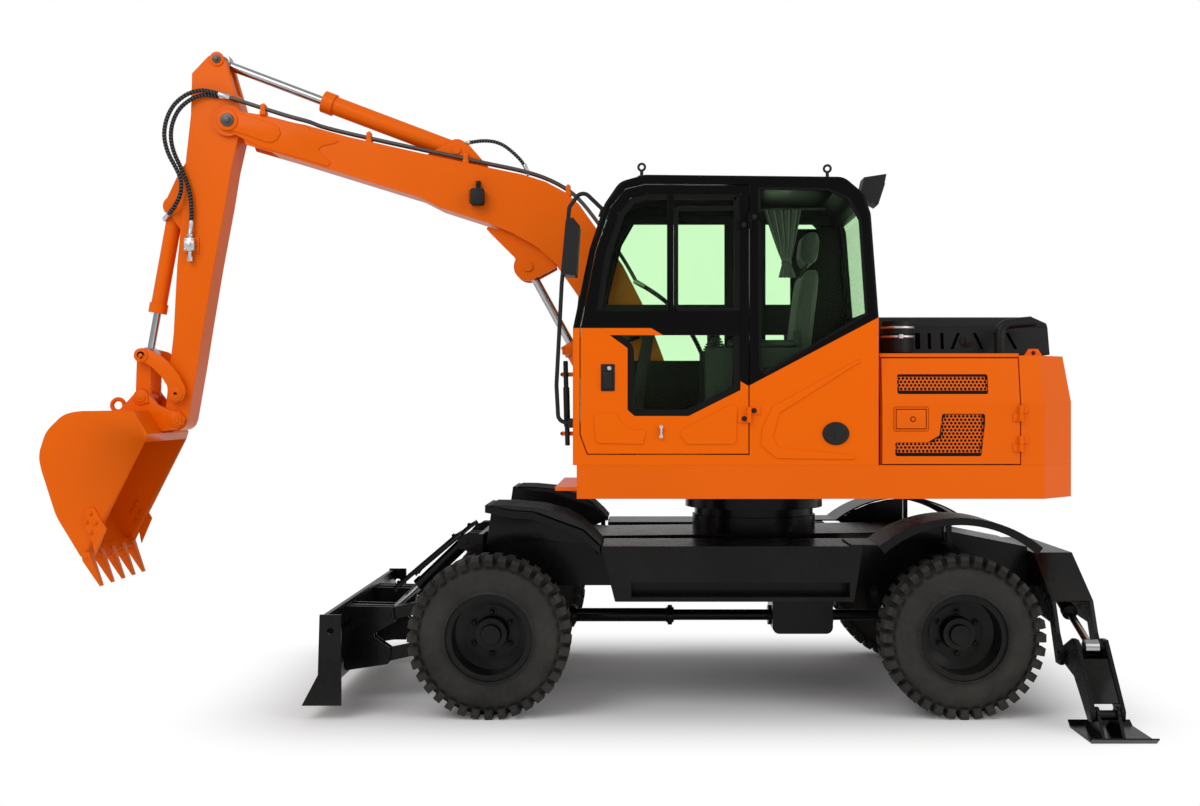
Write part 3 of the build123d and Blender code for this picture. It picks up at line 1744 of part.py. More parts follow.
# ---- Boom -------------------------------------------------------------------
boom_left = boom_y - boom_half
boom_right = boom_y + boom_half
boom_outline = [
    (-3109, 3405),
    (-2680, 3327),
    (-2420, 3254),
    (-1993, 3159),
    (-1577, 3070),
    (-1379, 3030),
    (-1241, 2986),
    (-1122, 2922),
    (-1043, 2853),
    (-782, 2488),
    (-669, 2268),
    (-562, 1994),
    (-395, 1540),
    (-430, 1430),
    (-540, 1430),
    (-1063, 2328),
    (-1182, 2497),
    (-1290, 2596),
    (-1448, 2684),
    (-1597, 2744),
    (-1874, 2833),
    (-1993, 2894),
    (-2512, 3054),
    (-2750, 3127),
    (-3032, 3209),
]
fork_root_x = -2880.0
with BuildPart() as boom:
    slab_y(boom_outline, boom_left, boom_right)
    rod_y(boom_foot, 88, boom_left, boom_right)
    rod_y(arm_pivot, 92, boom_left, boom_right)
    with BuildSketch(Plane.XZ.offset(-boom_left - boom_wall)) as boom_inside:
        with BuildLine():
            Polyline(*boom_outline, close=True)
        make_face()
        offset(amount=-boom_wall, mode=Mode.REPLACE)
        with Locations((-3000, 3300)):
            Rectangle(330, 500, mode=Mode.SUBTRACT)
        with Locations(boom_foot):
            Circle(130, mode=Mode.SUBTRACT)
    extrude(boom_inside.sketch, amount=-2 * (boom_half - boom_wall), mode=Mode.SUBTRACT)
    block(
        (-3300, fork_root_x),
        (boom_left + fork_plate, boom_right - fork_plate),
        (3000, 3600),
        Mode.SUBTRACT,
    )
    rod_y(boom_foot, main_pin_radius + 10 + pin_gap, boom_left, boom_right, Mode.SUBTRACT)
    rod_y(arm_pivot, main_pin_radius, boom_left - 8, boom_right + 8)
    for side in (-1, 1):
        slab_y(
            [
                (-1620, 2730),
                (-1430, 2540),
                (-1400, 2430),
                (-1290, 2420),
                (-1180, 2480),
                (-1250, 2640),
            ],
            boom_y + side * 62,
            boom_y + side * 82,
            corner=10,
        )
        rod_y(boom_ram_eye, 85, boom_y + side * 62, boom_y + side * 82)
        rod_y(boom_ram_eye, main_pin_radius, boom_y + side * 60, boom_y + side * 92)
        slab_y(
            [
                (-1980, 3140),
                (-1850, 3215),
                (-1780, 3250),
                (-1700, 3210),
                (-1560, 3050),
            ],
            boom_y + side * 62,
            boom_y + side * 82,
            corner=10,
        )
        rod_y(arm_ram_base, 66, boom_y + side * 62, boom_y + side * 82)
    rod_y(arm_ram_base, small_pin_radius, boom_y - 90, boom_y + 90)
keep("boom", boom)

boom_ram = ram_size(56, 25, 800, 70, 50, 100, main_pin_radius, 120)
boom_ram_plane = ram_plane(boom_ram_base, boom_ram_eye, False, boom_y)
boom_ram_length = length_of(boom_ram_base, boom_ram_eye)
keep("boom_barrel", ram_barrel(boom_ram_plane, boom_ram))
keep("boom_rod", ram_rod(boom_ram_plane, boom_ram, boom_ram_length))

# ---- Arm --------------------------------------------------------------------
arm_outline = [
    (-3360, 3640),
    (-3265, 3740),
    (-3211, 3766),
    (-3160, 3720),
    (-3060, 3380),
    (-3085, 3250),
    (-3126, 3071),
    (-3162, 2850),
    (-3229, 2491),
    (-3293, 2108),
    (-3330, 1875),
    (-3385, 1560),
    (-3520, 1600),
    (-3503, 1780),
    (-3470, 2084),
    (-3449, 2491),
    (-3420, 2800),
    (-3395, 3137),
    (-3367, 3388),
]
arm_left = boom_y - arm_half
arm_right = boom_y + arm_half
with BuildPart() as arm:
    slab_y(arm_outline, arm_left, arm_right)
    rod_y(bucket_pivot, 68, arm_left, arm_right)
    with BuildSketch(Plane.XZ.offset(-arm_left - arm_wall)) as arm_inside:
        with BuildLine():
            Polyline(
                (-3340, 3170),
                (-3170, 3170),
                (-3190, 2850),
                (-3250, 2491),
                (-3316, 2108),
                (-3340, 1960),
                (-3460, 1960),
                (-3448, 2084),
                (-3426, 2491),
                (-3398, 2800),
                close=True,
            )
        make_face()
    extrude(arm_inside.sketch, amount=-2 * (arm_half - arm_wall), mode=Mode.SUBTRACT)
    slab_y(
        [(-3420, 3520), (-3420, 3900), (-3050, 3900), (-3050, 3520)],
        boom_y - 46,
        boom_y + 46,
        Mode.SUBTRACT,
    )
    rod_y(arm_pivot, main_pin_radius + pin_gap, arm_left, arm_right, Mode.SUBTRACT)
    rod_y(bucket_pivot, main_pin_radius + pin_gap, arm_left, arm_right, Mode.SUBTRACT)
    for side in (-1, 1):
        rod_y(arm_ram_eye, small_pin_radius, boom_y + side * 48, boom_y + side * (arm_half + 8))
        slab_y(
            [
                (-3380, 3140),
                (-3440, 3060),
                (-3540, 2850),
                (-3500, 2800),
                (-3400, 2650),
            ],
            boom_y + side * 55,
            boom_y + side * 73,
            corner=10,
        )
        rod_y(bucket_ram_base, 58, boom_y + side * 55, boom_y + side * 73)
        rod_y(
            rocker_pivot,
            small_pin_radius + 14,
            boom_y + side * (arm_half - 5),
            boom_y + side * (arm_half + 30),
        )
        rod_y(
            rocker_pivot,
            small_pin_radius,
            boom_y + side * (arm_half - 5),
            boom_y + side * (arm_half + 62),
        )
    rod_y(bucket_ram_base, small_pin_radius, boom_y - 82, boom_y + 82)
keep("arm", arm)

arm_ram = ram_size(56, 27, 872, 70, 60, 90, small_pin_radius, 120)
arm_ram_plane = ram_plane(arm_ram_base, arm_ram_eye, False, boom_y)
arm_ram_length = length_of(arm_ram_base, arm_ram_eye)
keep("arm_barrel", ram_barrel(arm_ram_plane, arm_ram))
keep("arm_rod", ram_rod(arm_ram_plane, arm_ram, arm_ram_length))

bucket_ram = ram_size(46, 22, 650, 60, 52, 80, small_pin_radius, 120)
bucket_ram_plane = ram_plane(bucket_ram_base, rocker_joint, False, boom_y)
bucket_ram_length = length_of(bucket_ram_base, rocker_joint)
keep("bucket_barrel", ram_barrel(bucket_ram_plane, bucket_ram))
keep("bucket_rod", ram_rod(bucket_ram_plane, bucket_ram, bucket_ram_length))

# ---- Bucket linkage ---------------------------------------------------------
rocker_inner = arm_half + 34.0
rocker_outer = rocker_inner + rocker_plate
link_outer = 92.0
link_inner = 70.0
with BuildPart() as rocker:
    for side in (-1, 1):
        strap_y(
            rocker_pivot,
            rocker_joint,
            48,
            boom_y + side * rocker_inner,
            boom_y + side * rocker_outer,
        )
        rod_y(
            rocker_pivot,
            small_pin_radius + pin_gap,
            boom_y + side * rocker_inner,
            boom_y + side * rocker_outer,
            Mode.SUBTRACT,
        )
        rod_y(
            rocker_joint,
            small_pin_radius,
            boom_y + side * (link_inner - 8),
            boom_y + side * (rocker_outer + 8),
        )
keep("rocker", rocker)

with BuildPart() as bucket_link:
    for side in (-1, 1):
        strap_y(
            rocker_joint,
            bucket_link_pin,
            44,
            boom_y + side * link_inner,
            boom_y + side * link_outer,
        )
        rod_y(
            rocker_joint,
            small_pin_radius + pin_gap,
            boom_y + side * link_inner,
            boom_y + side * link_outer,
            Mode.SUBTRACT,
        )
    rod_y(bucket_link_pin, 40, boom_y - link_inner - 1, boom_y + link_inner + 1)
keep("bucket_link", bucket_link)

ear_inner = arm_half + 5.0
ear_outer = ear_inner + ear_plate
bucket_profile = [
    (-3930, 1620),
    (-3610, 1620),
    (-3532, 1486),
    (-3545, 1440),
    (-3890, 758),
    (-3920, 780),
    (-4060, 1010),
    (-4150, 1291),
    (-4162, 1368),
    (-4120, 1500),
    (-4020, 1600),
]
with BuildPart() as bucket:
    slab_y(bucket_profile, boom_y - bucket_half_width, boom_y + bucket_half_width)
    with BuildSketch(Plane.XZ.offset(-(boom_y - bucket_half_width + bucket_plate))) as scoop:
        with BuildLine():
            Polyline(
                (-3915, 1602),
                (-3620, 1602),
                (-3540, 1470),
                (-3400, 1400),
                (-3600, 600),
                (-3885, 770),
                (-4040, 1020),
                (-4132, 1291),
                (-4144, 1368),
                (-4104, 1490),
                (-4010, 1583),
                close=True,
            )
        make_face()
    extrude(
        scoop.sketch,
        amount=-2 * (bucket_half_width - bucket_plate),
        mode=Mode.SUBTRACT,
    )
    for side in (-1, 1):
        slab_y(
            [
                (-3900, 1610),
                (-3720, 1740),
                (-3655, 1752),
                (-3600, 1720),
                (-3440, 1640),
                (-3390, 1590),
                (-3400, 1510),
                (-3460, 1495),
                (-3560, 1560),
                (-3620, 1610),
            ],
            boom_y + side * ear_inner,
            boom_y + side * ear_outer,
            corner=8,
        )
        rod_y(
            bucket_link_pin,
            small_pin_radius + 12,
            boom_y + side * ear_inner,
            boom_y + side * ear_outer,
        )
    rod_y(bucket_pivot, main_pin_radius, boom_y - ear_outer - 1, boom_y + ear_outer + 1)
    slab_y([(-4135, 1480), (-4060, 1545), (-4010, 1602), (-4130, 1600)], boom_y - 12, boom_y + 12)
    rod_y(bucket_eye, bucket_eye_radius + 24, boom_y - 12, boom_y + 12)
    rod_y(bucket_eye, bucket_eye_radius, boom_y - 13, boom_y + 13, Mode.SUBTRACT)
    for index in range(tooth_count):
        spread = bucket_half_width - tooth_width / 2
        middle = boom_y - spread + index * 2 * spread / (tooth_count - 1)
        slab_y(
            [(-3900, 800), (-3870, 790), (-3798, 604), (-3812, 602), (-3912, 770)],
            middle - tooth_width / 2,
            middle + tooth_width / 2,
        )
keep("bucket", bucket)

# ---- Placing and saving ------------------------------------------------------
boxes = [piece.bounding_box() for piece in pieces.values()]
front_end = min(box.min.X for box in boxes)
rear_end = max(box.max.X for box in boxes)
origin_shift = -(front_end + rear_end) / 2

for name, piece in pieces.items():
    placed = piece.moved(Location((origin_shift, 0, 0)))
    placed.label = name
    export_step(placed, f"parts/{name}.step")
print(f"{len(pieces)} pieces, {rear_end - front_end:.0f} mm long, shift {origin_shift:.2f} mm")
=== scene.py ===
import json
from math import cos, pi, radians, sin, tan

import bmesh
import bpy
from mathutils import Matrix, Vector

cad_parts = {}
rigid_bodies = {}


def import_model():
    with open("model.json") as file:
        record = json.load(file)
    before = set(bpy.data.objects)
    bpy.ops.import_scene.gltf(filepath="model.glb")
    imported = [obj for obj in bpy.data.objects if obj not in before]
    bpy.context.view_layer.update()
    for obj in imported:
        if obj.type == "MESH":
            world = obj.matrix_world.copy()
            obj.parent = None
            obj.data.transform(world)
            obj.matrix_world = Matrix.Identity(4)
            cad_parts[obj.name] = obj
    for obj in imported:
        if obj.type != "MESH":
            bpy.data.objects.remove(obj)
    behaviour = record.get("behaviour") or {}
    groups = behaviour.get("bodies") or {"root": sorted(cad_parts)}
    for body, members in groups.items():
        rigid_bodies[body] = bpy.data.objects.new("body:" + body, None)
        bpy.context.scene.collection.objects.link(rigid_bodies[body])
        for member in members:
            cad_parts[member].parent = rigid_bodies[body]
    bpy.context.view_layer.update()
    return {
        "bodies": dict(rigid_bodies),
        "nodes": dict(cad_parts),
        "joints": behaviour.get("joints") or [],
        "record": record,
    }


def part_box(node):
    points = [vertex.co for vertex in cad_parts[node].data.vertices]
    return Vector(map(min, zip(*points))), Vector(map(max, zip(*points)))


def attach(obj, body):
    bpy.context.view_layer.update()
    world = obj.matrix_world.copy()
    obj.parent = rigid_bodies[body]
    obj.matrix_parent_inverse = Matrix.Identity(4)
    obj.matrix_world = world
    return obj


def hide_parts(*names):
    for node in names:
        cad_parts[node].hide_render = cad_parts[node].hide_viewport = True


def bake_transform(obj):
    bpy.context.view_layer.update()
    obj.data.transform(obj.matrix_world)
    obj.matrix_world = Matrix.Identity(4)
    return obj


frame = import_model()
nodes = frame["nodes"]
print("frame loaded:", len(nodes), "nodes")

# ---- camera ----
swingX = (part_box("swing_ring")[0].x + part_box("swing_ring")[1].x) / 2
camera = {
    "place": (swingX - 0.681, -8.1, 1.666),
    "widthAngle": 47.8,
    "shiftX": -0.033,
}


def makeCamera(settings):
    data = bpy.data.cameras.new("photoCamera")
    data.sensor_width = 36
    data.lens = data.sensor_width / 2 / tan(radians(settings["widthAngle"] / 2))
    data.shift_x = settings["shiftX"]
    obj = bpy.data.objects.new("photoCamera", data)
    obj.location = settings["place"]
    obj.rotation_euler = (pi / 2, 0, 0)
    bpy.context.scene.collection.objects.link(obj)
    bpy.context.scene.camera = obj


makeCamera(camera)
print("camera placed")


# ---- node groups shared by the materials ----
def newGroup(name, inputs, outputs):
    group = bpy.data.node_groups.new(name, "ShaderNodeTree")
    for label, kind, value in inputs:
        socket = group.interface.new_socket(label, in_out="INPUT", socket_type=kind)
        if value is not None:
            socket.default_value = value
    for label, kind in outputs:
        group.interface.new_socket(label, in_out="OUTPUT", socket_type=kind)
    start = group.nodes.new("NodeGroupInput")
    end = group.nodes.new("NodeGroupOutput")
    return group, start, end


def mathNode(tree, operation, first, second=None, clamp=False):
    node = tree.nodes.new("ShaderNodeMath")
    node.operation = operation
    node.use_clamp = clamp
    for index, value in enumerate((first, second)):
        if value is None:
            continue
        if isinstance(value, (int, float)):
            node.inputs[index].default_value = value
        else:
            tree.links.new(value, node.inputs[index])
    return node.outputs[0]


def ramp(tree, factor, low, high):
    node = tree.nodes.new("ShaderNodeMapRange")
    node.inputs["From Min"].default_value = low
    node.inputs["From Max"].default_value = high
    tree.links.new(factor, node.inputs["Value"])
    return node.outputs["Result"]


def noise(tree, vector, scale, detail=3.0, roughness=0.55):
    node = tree.nodes.new("ShaderNodeTexNoise")
    node.inputs["Scale"].default_value = scale
    node.inputs["Detail"].default_value = detail
    node.inputs["Roughness"].default_value = roughness
    tree.links.new(vector, node.inputs["Vector"])
    return node.outputs["Fac"]


def mixColor(tree, factor, first, second):
    node = tree.nodes.new("ShaderNodeMix")
    node.data_type = "RGBA"
    for socket, value in ((node.inputs[0], factor), (node.inputs[6], first), (node.inputs[7], second)):
        if isinstance(value, (int, float)):
            socket.default_value = value
        elif isinstance(value, tuple):
            socket.default_value = (*value, 1) if len(value) == 3 else value
        else:
            tree.links.new(value, socket)
    return node.outputs[2]


def objectCoordinates(tree):
    return tree.nodes.new("ShaderNodeTexCoord").outputs["Object"]


def makeGrimeGroup():
    group, start, end = newGroup(
        "grime",
        [
            ("Color", "NodeSocketColor", None),
            ("Dust Color", "NodeSocketColor", (0.35, 0.3, 0.24, 1)),
            ("Amount", "NodeSocketFloat", 0.1),
            ("Roughness", "NodeSocketFloat", 0.3),
            ("Top Z", "NodeSocketFloat", 1.2),
        ],
        [("Color", "NodeSocketColor"), ("Roughness", "NodeSocketFloat")],
    )
    place = objectCoordinates(group)
    patches = ramp(group, noise(group, place, 2.3, 6.0), 0.42, 0.72)
    specks = ramp(group, noise(group, place, 38.0, 4.0), 0.5, 0.75)
    split = group.nodes.new("ShaderNodeSeparateXYZ")
    group.links.new(place, split.inputs[0])
    low = mathNode(group, "SUBTRACT", 1.0, mathNode(group, "DIVIDE", split.outputs[2], start.outputs["Top Z"]), True)
    up = group.nodes.new("ShaderNodeSeparateXYZ")
    group.links.new(group.nodes.new("ShaderNodeNewGeometry").outputs["Normal"], up.inputs[0])
    lying = ramp(group, up.outputs[2], 0.55, 1.0)
    cover = mathNode(group, "ADD", mathNode(group, "MULTIPLY", low, 0.9), mathNode(group, "MULTIPLY", lying, 0.5))
    cover = mathNode(group, "ADD", cover, 0.2)
    mask = mathNode(group, "ADD", mathNode(group, "MULTIPLY", patches, 0.7), mathNode(group, "MULTIPLY", specks, 0.3))
    mask = mathNode(group, "MULTIPLY", mathNode(group, "MULTIPLY", mask, cover), start.outputs["Amount"], True)
    color = mixColor(group, mask, start.outputs["Color"], start.outputs["Dust Color"])
    group.links.new(color, end.inputs["Color"])
    rough = mathNode(group, "ADD", start.outputs["Roughness"], mathNode(group, "MULTIPLY", mask, 0.5), True)
    wipe = mathNode(group, "MULTIPLY", mathNode(group, "SUBTRACT", noise(group, place, 11.0, 5.0), 0.5), 0.12)
    group.links.new(mathNode(group, "ADD", rough, wipe, True), end.inputs["Roughness"])
    return group


def makeSkinGroup():
    group, start, end = newGroup(
        "roundedSkin",
        [
            ("Edge", "NodeSocketFloat", 0.004),
            ("Grain Scale", "NodeSocketFloat", 220.0),
            ("Grain", "NodeSocketFloat", 0.05),
            ("Depth", "NodeSocketFloat", 0.002),
        ],
        [("Normal", "NodeSocketVector")],
    )
    place = objectCoordinates(group)
    bevel = group.nodes.new("ShaderNodeBevel")
    bevel.samples = 4
    group.links.new(start.outputs["Edge"], bevel.inputs["Radius"])
    texture = group.nodes.new("ShaderNodeTexNoise")
    texture.inputs["Detail"].default_value = 2.0
    group.links.new(place, texture.inputs["Vector"])
    group.links.new(start.outputs["Grain Scale"], texture.inputs["Scale"])
    bump = group.nodes.new("ShaderNodeBump")
    group.links.new(start.outputs["Grain"], bump.inputs["Strength"])
    group.links.new(start.outputs["Depth"], bump.inputs["Distance"])
    group.links.new(texture.outputs["Fac"], bump.inputs["Height"])
    group.links.new(bevel.outputs["Normal"], bump.inputs["Normal"])
    group.links.new(bump.outputs["Normal"], end.inputs["Normal"])
    return group


grimeGroup = makeGrimeGroup()
skinGroup = makeSkinGroup()


def placeGroup(tree, group, **values):
    node = tree.nodes.new("ShaderNodeGroup")
    node.node_tree = group
    for label, value in values.items():
        node.inputs[label.replace("_", " ")].default_value = value
    return node


# ---- materials ----
finishes = {
    "orangePaint": {"color": (0.90, 0.140, 0.0015), "rough": 0.30, "coat": 0.03, "gloss": 0.09, "dust": 0.012, "grain": 0.05},
    "cabBlack": {"color": (0.003, 0.003, 0.0032), "rough": 0.20, "coat": 0.04, "gloss": 0.08, "dust": 0.01, "grain": 0.04},
    "hoodBlack": {"color": (0.007, 0.007, 0.0074), "rough": 0.42, "coat": 0.0, "gloss": 0.22, "dust": 0.05, "grain": 0.25},
    "chassisBlack": {"color": (0.0025, 0.0025, 0.0028), "rough": 0.26, "coat": 0.05, "gloss": 0.14, "dust": 0.05, "grain": 0.12},
    "rimBlack": {"color": (0.003, 0.003, 0.0033), "rough": 0.30, "coat": 0.05, "gloss": 0.14, "dust": 0.08, "grain": 0.10},
    "blackTrim": {"color": (0.010, 0.010, 0.0105), "rough": 0.50, "coat": 0.0, "gloss": 0.25, "dust": 0.05, "grain": 0.35},
    "insideGrey": {"color": (0.016, 0.017, 0.018), "rough": 0.62, "coat": 0.0, "gloss": 0.2, "dust": 0.05, "grain": 0.45},
    "engineIron": {"color": (0.10, 0.10, 0.10), "rough": 0.55, "coat": 0.0, "dust": 0.25, "grain": 0.5},
    "plainSteel": {"color": (0.42, 0.42, 0.43), "rough": 0.32, "coat": 0.0, "dust": 0.12, "grain": 0.2, "metal": 1.0},
    "pinSteel": {"color": (0.10, 0.095, 0.09), "rough": 0.38, "coat": 0.0, "dust": 0.12, "grain": 0.2, "metal": 1.0},
    "zincSteel": {"color": (0.62, 0.63, 0.64), "rough": 0.34, "coat": 0.0, "dust": 0.10, "grain": 0.3, "metal": 1.0},
    "mirrorSilver": {"color": (0.80, 0.82, 0.83), "rough": 0.05, "coat": 0.0, "dust": 0.05, "grain": 0.0, "metal": 1.0},
    "hoseRubber": {"color": (0.006, 0.006, 0.006), "rough": 0.50, "coat": 0.0, "gloss": 0.2, "dust": 0.04, "grain": 0.3, "edge": 0.001},
    "hoseSpiral": {"color": (0.11, 0.11, 0.11), "rough": 0.42, "coat": 0.0, "gloss": 0.4, "dust": 0.05, "grain": 0.1, "edge": 0.001},
    # near-black of the rubber seals and hood lining, also the painted shade of the cab blocks, grille backings and
    # latch recesses
    "sealRubberAndShade": {"color": (0.004, 0.004, 0.004), "rough": 0.62, "coat": 0.0, "gloss": 0.12, "dust": 0.03, "grain": 0.2, "edge": 0.002},
}
dustColor = (0.30, 0.26, 0.21, 1)


def newMaterial(name):
    material = bpy.data.materials.new(name)
    material.use_nodes = True
    tree = material.node_tree
    return material, tree, tree.nodes["Principled BSDF"]


def finishShader(tree, shader, settings, color=None):
    grime = placeGroup(tree, grimeGroup, Amount=settings["dust"], Roughness=settings["rough"], Dust_Color=dustColor)
    shade = color
    if shade is None:
        deep = tuple(channel * 0.90 for channel in settings["color"])
        shade = mixColor(tree, noise(tree, objectCoordinates(tree), 1.7, 4.0), deep, settings["color"])
    tree.links.new(shade, grime.inputs["Color"])
    tree.links.new(grime.outputs["Color"], shader.inputs["Base Color"])
    tree.links.new(grime.outputs["Roughness"], shader.inputs["Roughness"])
    skin = placeGroup(tree, skinGroup, Grain=settings["grain"], Edge=settings.get("edge", 0.004))
    tree.links.new(skin.outputs["Normal"], shader.inputs["Normal"])
    shader.inputs["Coat Weight"].default_value = settings["coat"]
    shader.inputs["Coat Roughness"].default_value = 0.08
    shader.inputs["Specular IOR Level"].default_value = settings.get("gloss", 0.5)
    shader.inputs["Metallic"].default_value = settings.get("metal", 0.0)


def makeFinish(name):
    material, tree, shader = newMaterial(name)
    finishShader(tree, shader, finishes[name])
    return material


materials = {name: makeFinish(name) for name in finishes}


cabSplit = {  # the paint changes from orange to black above this line along the cab
    "points": ((-1.20, 2.059), (-0.62, 2.059), (-0.11, 1.755), (0.576, 2.117)),
    "soft": 0.0015,
}


def makeCabPaint(settings):
    material, tree, shader = newMaterial("cabPaint")
    split = tree.nodes.new("ShaderNodeSeparateXYZ")
    tree.links.new(objectCoordinates(tree), split.inputs[0])
    line = tree.nodes.new("ShaderNodeFloatCurve")
    curve = line.mapping.curves[0]
    xs = [swingX + x for x, z in settings["points"]]
    span = xs[-1] - xs[0]
    for index, (x, z) in enumerate(zip(xs, (z for x, z in settings["points"]))):
        spot = ((x - xs[0]) / span, z - 1.5)
        if index in (0, len(xs) - 1):
            curve.points[0 if index == 0 else -1].location = spot
        else:
            curve.points.new(*spot)
    for point in curve.points:
        point.handle_type = "VECTOR"
    line.mapping.update()
    along = ramp(tree, split.outputs[0], xs[0], xs[-1])
    tree.links.new(along, line.inputs["Value"])
    height = mathNode(tree, "SUBTRACT", split.outputs[2], mathNode(tree, "ADD", line.outputs[0], 1.5))
    above = ramp(tree, height, -settings["soft"], settings["soft"])
    color = mixColor(tree, above, finishes["orangePaint"]["color"], finishes["cabBlack"]["color"])
    finishShader(tree, shader, finishes["orangePaint"], color)
    shader.inputs["Specular IOR Level"].default_value = 0.05
    return material


materials["cabPaint"] = makeCabPaint(cabSplit)


def makeRubber():
    material, tree, shader = newMaterial("tyreRubber")
    place = objectCoordinates(tree)
    color = mixColor(tree, ramp(tree, noise(tree, place, 5.0, 6.0), 0.35, 0.7), (0.012, 0.0115, 0.011), (0.026, 0.024, 0.021))
    grime = placeGroup(tree, grimeGroup, Amount=0.28, Roughness=0.78, Dust_Color=(0.16, 0.14, 0.115, 1))
    tree.links.new(color, grime.inputs["Color"])
    tree.links.new(grime.outputs["Color"], shader.inputs["Base Color"])
    tree.links.new(grime.outputs["Roughness"], shader.inputs["Roughness"])
    skin = placeGroup(tree, skinGroup, Grain=0.5, Edge=0.003, Grain_Scale=160.0)
    tree.links.new(skin.outputs["Normal"], shader.inputs["Normal"])
    shader.inputs["Specular IOR Level"].default_value = 0.35
    return material


def makeChrome():
    material, tree, shader = newMaterial("chromeRod")
    place = objectCoordinates(tree)
    rough = mathNode(tree, "ADD", 0.17, mathNode(tree, "MULTIPLY", noise(tree, place, 6.0, 2.0), 0.05))
    tree.links.new(rough, shader.inputs["Roughness"])
    film = mixColor(tree, ramp(tree, noise(tree, place, 5.0, 2.0), 0.4, 0.9), (0.46, 0.47, 0.49), (0.36, 0.35, 0.33))
    tree.links.new(film, shader.inputs["Base Color"])
    shader.inputs["Metallic"].default_value = 1.0
    return material


def makeGlass(name, tint):
    material, tree, shader = newMaterial(name)
    place = objectCoordinates(tree)
    rough = mathNode(tree, "MULTIPLY", ramp(tree, noise(tree, place, 3.0, 5.0), 0.55, 0.9), 0.05)
    tree.links.new(rough, shader.inputs["Roughness"])
    film = mixColor(tree, ramp(tree, noise(tree, place, 1.6, 5.0), 0.5, 0.9), tint, tuple(c * 0.94 for c in tint))
    tree.links.new(film, shader.inputs["Base Color"])
    shader.inputs["Transmission Weight"].default_value = 1.0
    shader.inputs["IOR"].default_value = 1.12
    return material


def makeCloth(name, dark, light, scale, sheen):
    material, tree, shader = newMaterial(name)
    place = objectCoordinates(tree)
    warp = tree.nodes.new("ShaderNodeTexWave")
    warp.inputs["Scale"].default_value = scale
    warp.inputs["Distortion"].default_value = 0.6
    tree.links.new(place, warp.inputs["Vector"])
    weft = tree.nodes.new("ShaderNodeTexWave")
    weft.bands_direction = "Z"
    weft.inputs["Scale"].default_value = scale
    weft.inputs["Distortion"].default_value = 0.6
    tree.links.new(place, weft.inputs["Vector"])
    weave = mathNode(tree, "MULTIPLY", warp.outputs["Fac"], weft.outputs["Fac"])
    patch = mathNode(tree, "MULTIPLY", noise(tree, place, 9.0, 5.0), 0.6)
    color = mixColor(tree, mathNode(tree, "ADD", weave, patch, True), dark, light)
    tree.links.new(color, shader.inputs["Base Color"])
    bump = tree.nodes.new("ShaderNodeBump")
    bump.inputs["Strength"].default_value = 0.35
    bump.inputs["Distance"].default_value = 0.001
    tree.links.new(weave, bump.inputs["Height"])
    tree.links.new(bump.outputs["Normal"], shader.inputs["Normal"])
    shader.inputs["Sheen Weight"].default_value = sheen
    shader.inputs["Roughness"].default_value = 0.85
    return material


materials["tyreRubber"] = makeRubber()
materials["chromeRod"] = makeChrome()
materials["cabGlass"] = makeGlass("cabGlass", (0.78, 0.99, 0.745))
materials["lampLens"] = makeGlass("lampLens", (0.93, 0.94, 0.92))
materials["seatCloth"] = makeCloth("seatCloth", (0.012, 0.012, 0.014), (0.055, 0.056, 0.06), 130.0, 0.3)
materials["curtainCloth"] = makeCloth("curtainCloth", (0.006, 0.006, 0.007), (0.02, 0.02, 0.022), 180.0, 0.4)
print("materials made:", len(materials))

# ---- finishes of the frame's nodes ----
nodeFinishes = {
    "orangePaint": (
        "boom", "arm", "bucket", "rocker", "bucket_link", "counterweight", "side_door_left", "side_door_right",
        "engine_frame", "right_housing", "platform", "boom_barrel", "arm_barrel", "bucket_barrel",
    ),
    "cabPaint": ("cab_frame", "cab_door"),
    "hoodBlack": ("engine_hood", "exhaust_and_cleaner"),
    "blackTrim": ("rail_and_mirror",),
    "chassisBlack": (
        "chassis_frame", "side_boxes", "fenders", "front_axle", "rear_axle", "driveline", "swing_ring",
        "stabiliser_frame", "knuckle_left", "knuckle_right", "blade_lower_links", "blade_upper_links",
        "blade_mount", "dozer_blade", "blade_barrels", "stabiliser_barrel_left", "stabiliser_barrel_right",
        "stabiliser_leg_left", "stabiliser_leg_right", "stabiliser_pad_left", "stabiliser_pad_right",
    ),
    "chromeRod": (
        "boom_rod", "arm_rod", "bucket_rod", "blade_rods", "stabiliser_rod_left", "stabiliser_rod_right", "steering_rod",
    ),
    "cabGlass": ("cab_glass", "door_glass"),
    "insideGrey": ("cab_controls",),
    "seatCloth": ("operator_seat",),
    "engineIron": ("engine",),
    "rimBlack": tuple(name for name in nodes if name.startswith("rim_")),
    "tyreRubber": tuple(name for name in nodes if name.startswith("tyre_")),
}


def paint(obj, name):
    obj.data.materials.clear()
    obj.data.materials.append(materials[name])


for finish, names in nodeFinishes.items():
    for name in names:
        paint(nodes[name], finish)
plain = set(nodes) - {name for names in nodeFinishes.values() for name in names}
print("nodes without a finish:", sorted(plain))


# ---- helpers for new pieces ----
def finishPiece(name, bm, finish, body, smooth=35):
    mesh = bpy.data.meshes.new(name)
    bmesh.ops.remove_doubles(bm, verts=bm.verts, dist=1e-6)
    bmesh.ops.recalc_face_normals(bm, faces=bm.faces)
    for face in bm.faces:
        face.smooth = True
    for edge in bm.edges:
        if len(edge.link_faces) == 2 and edge.calc_face_angle() > radians(smooth):
            edge.smooth = False
    bm.to_mesh(mesh)
    bm.free()
    obj = bpy.data.objects.new(name, mesh)
    bpy.context.scene.collection.objects.link(obj)
    mesh.materials.append(materials[finish])
    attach(obj, body)
    return obj


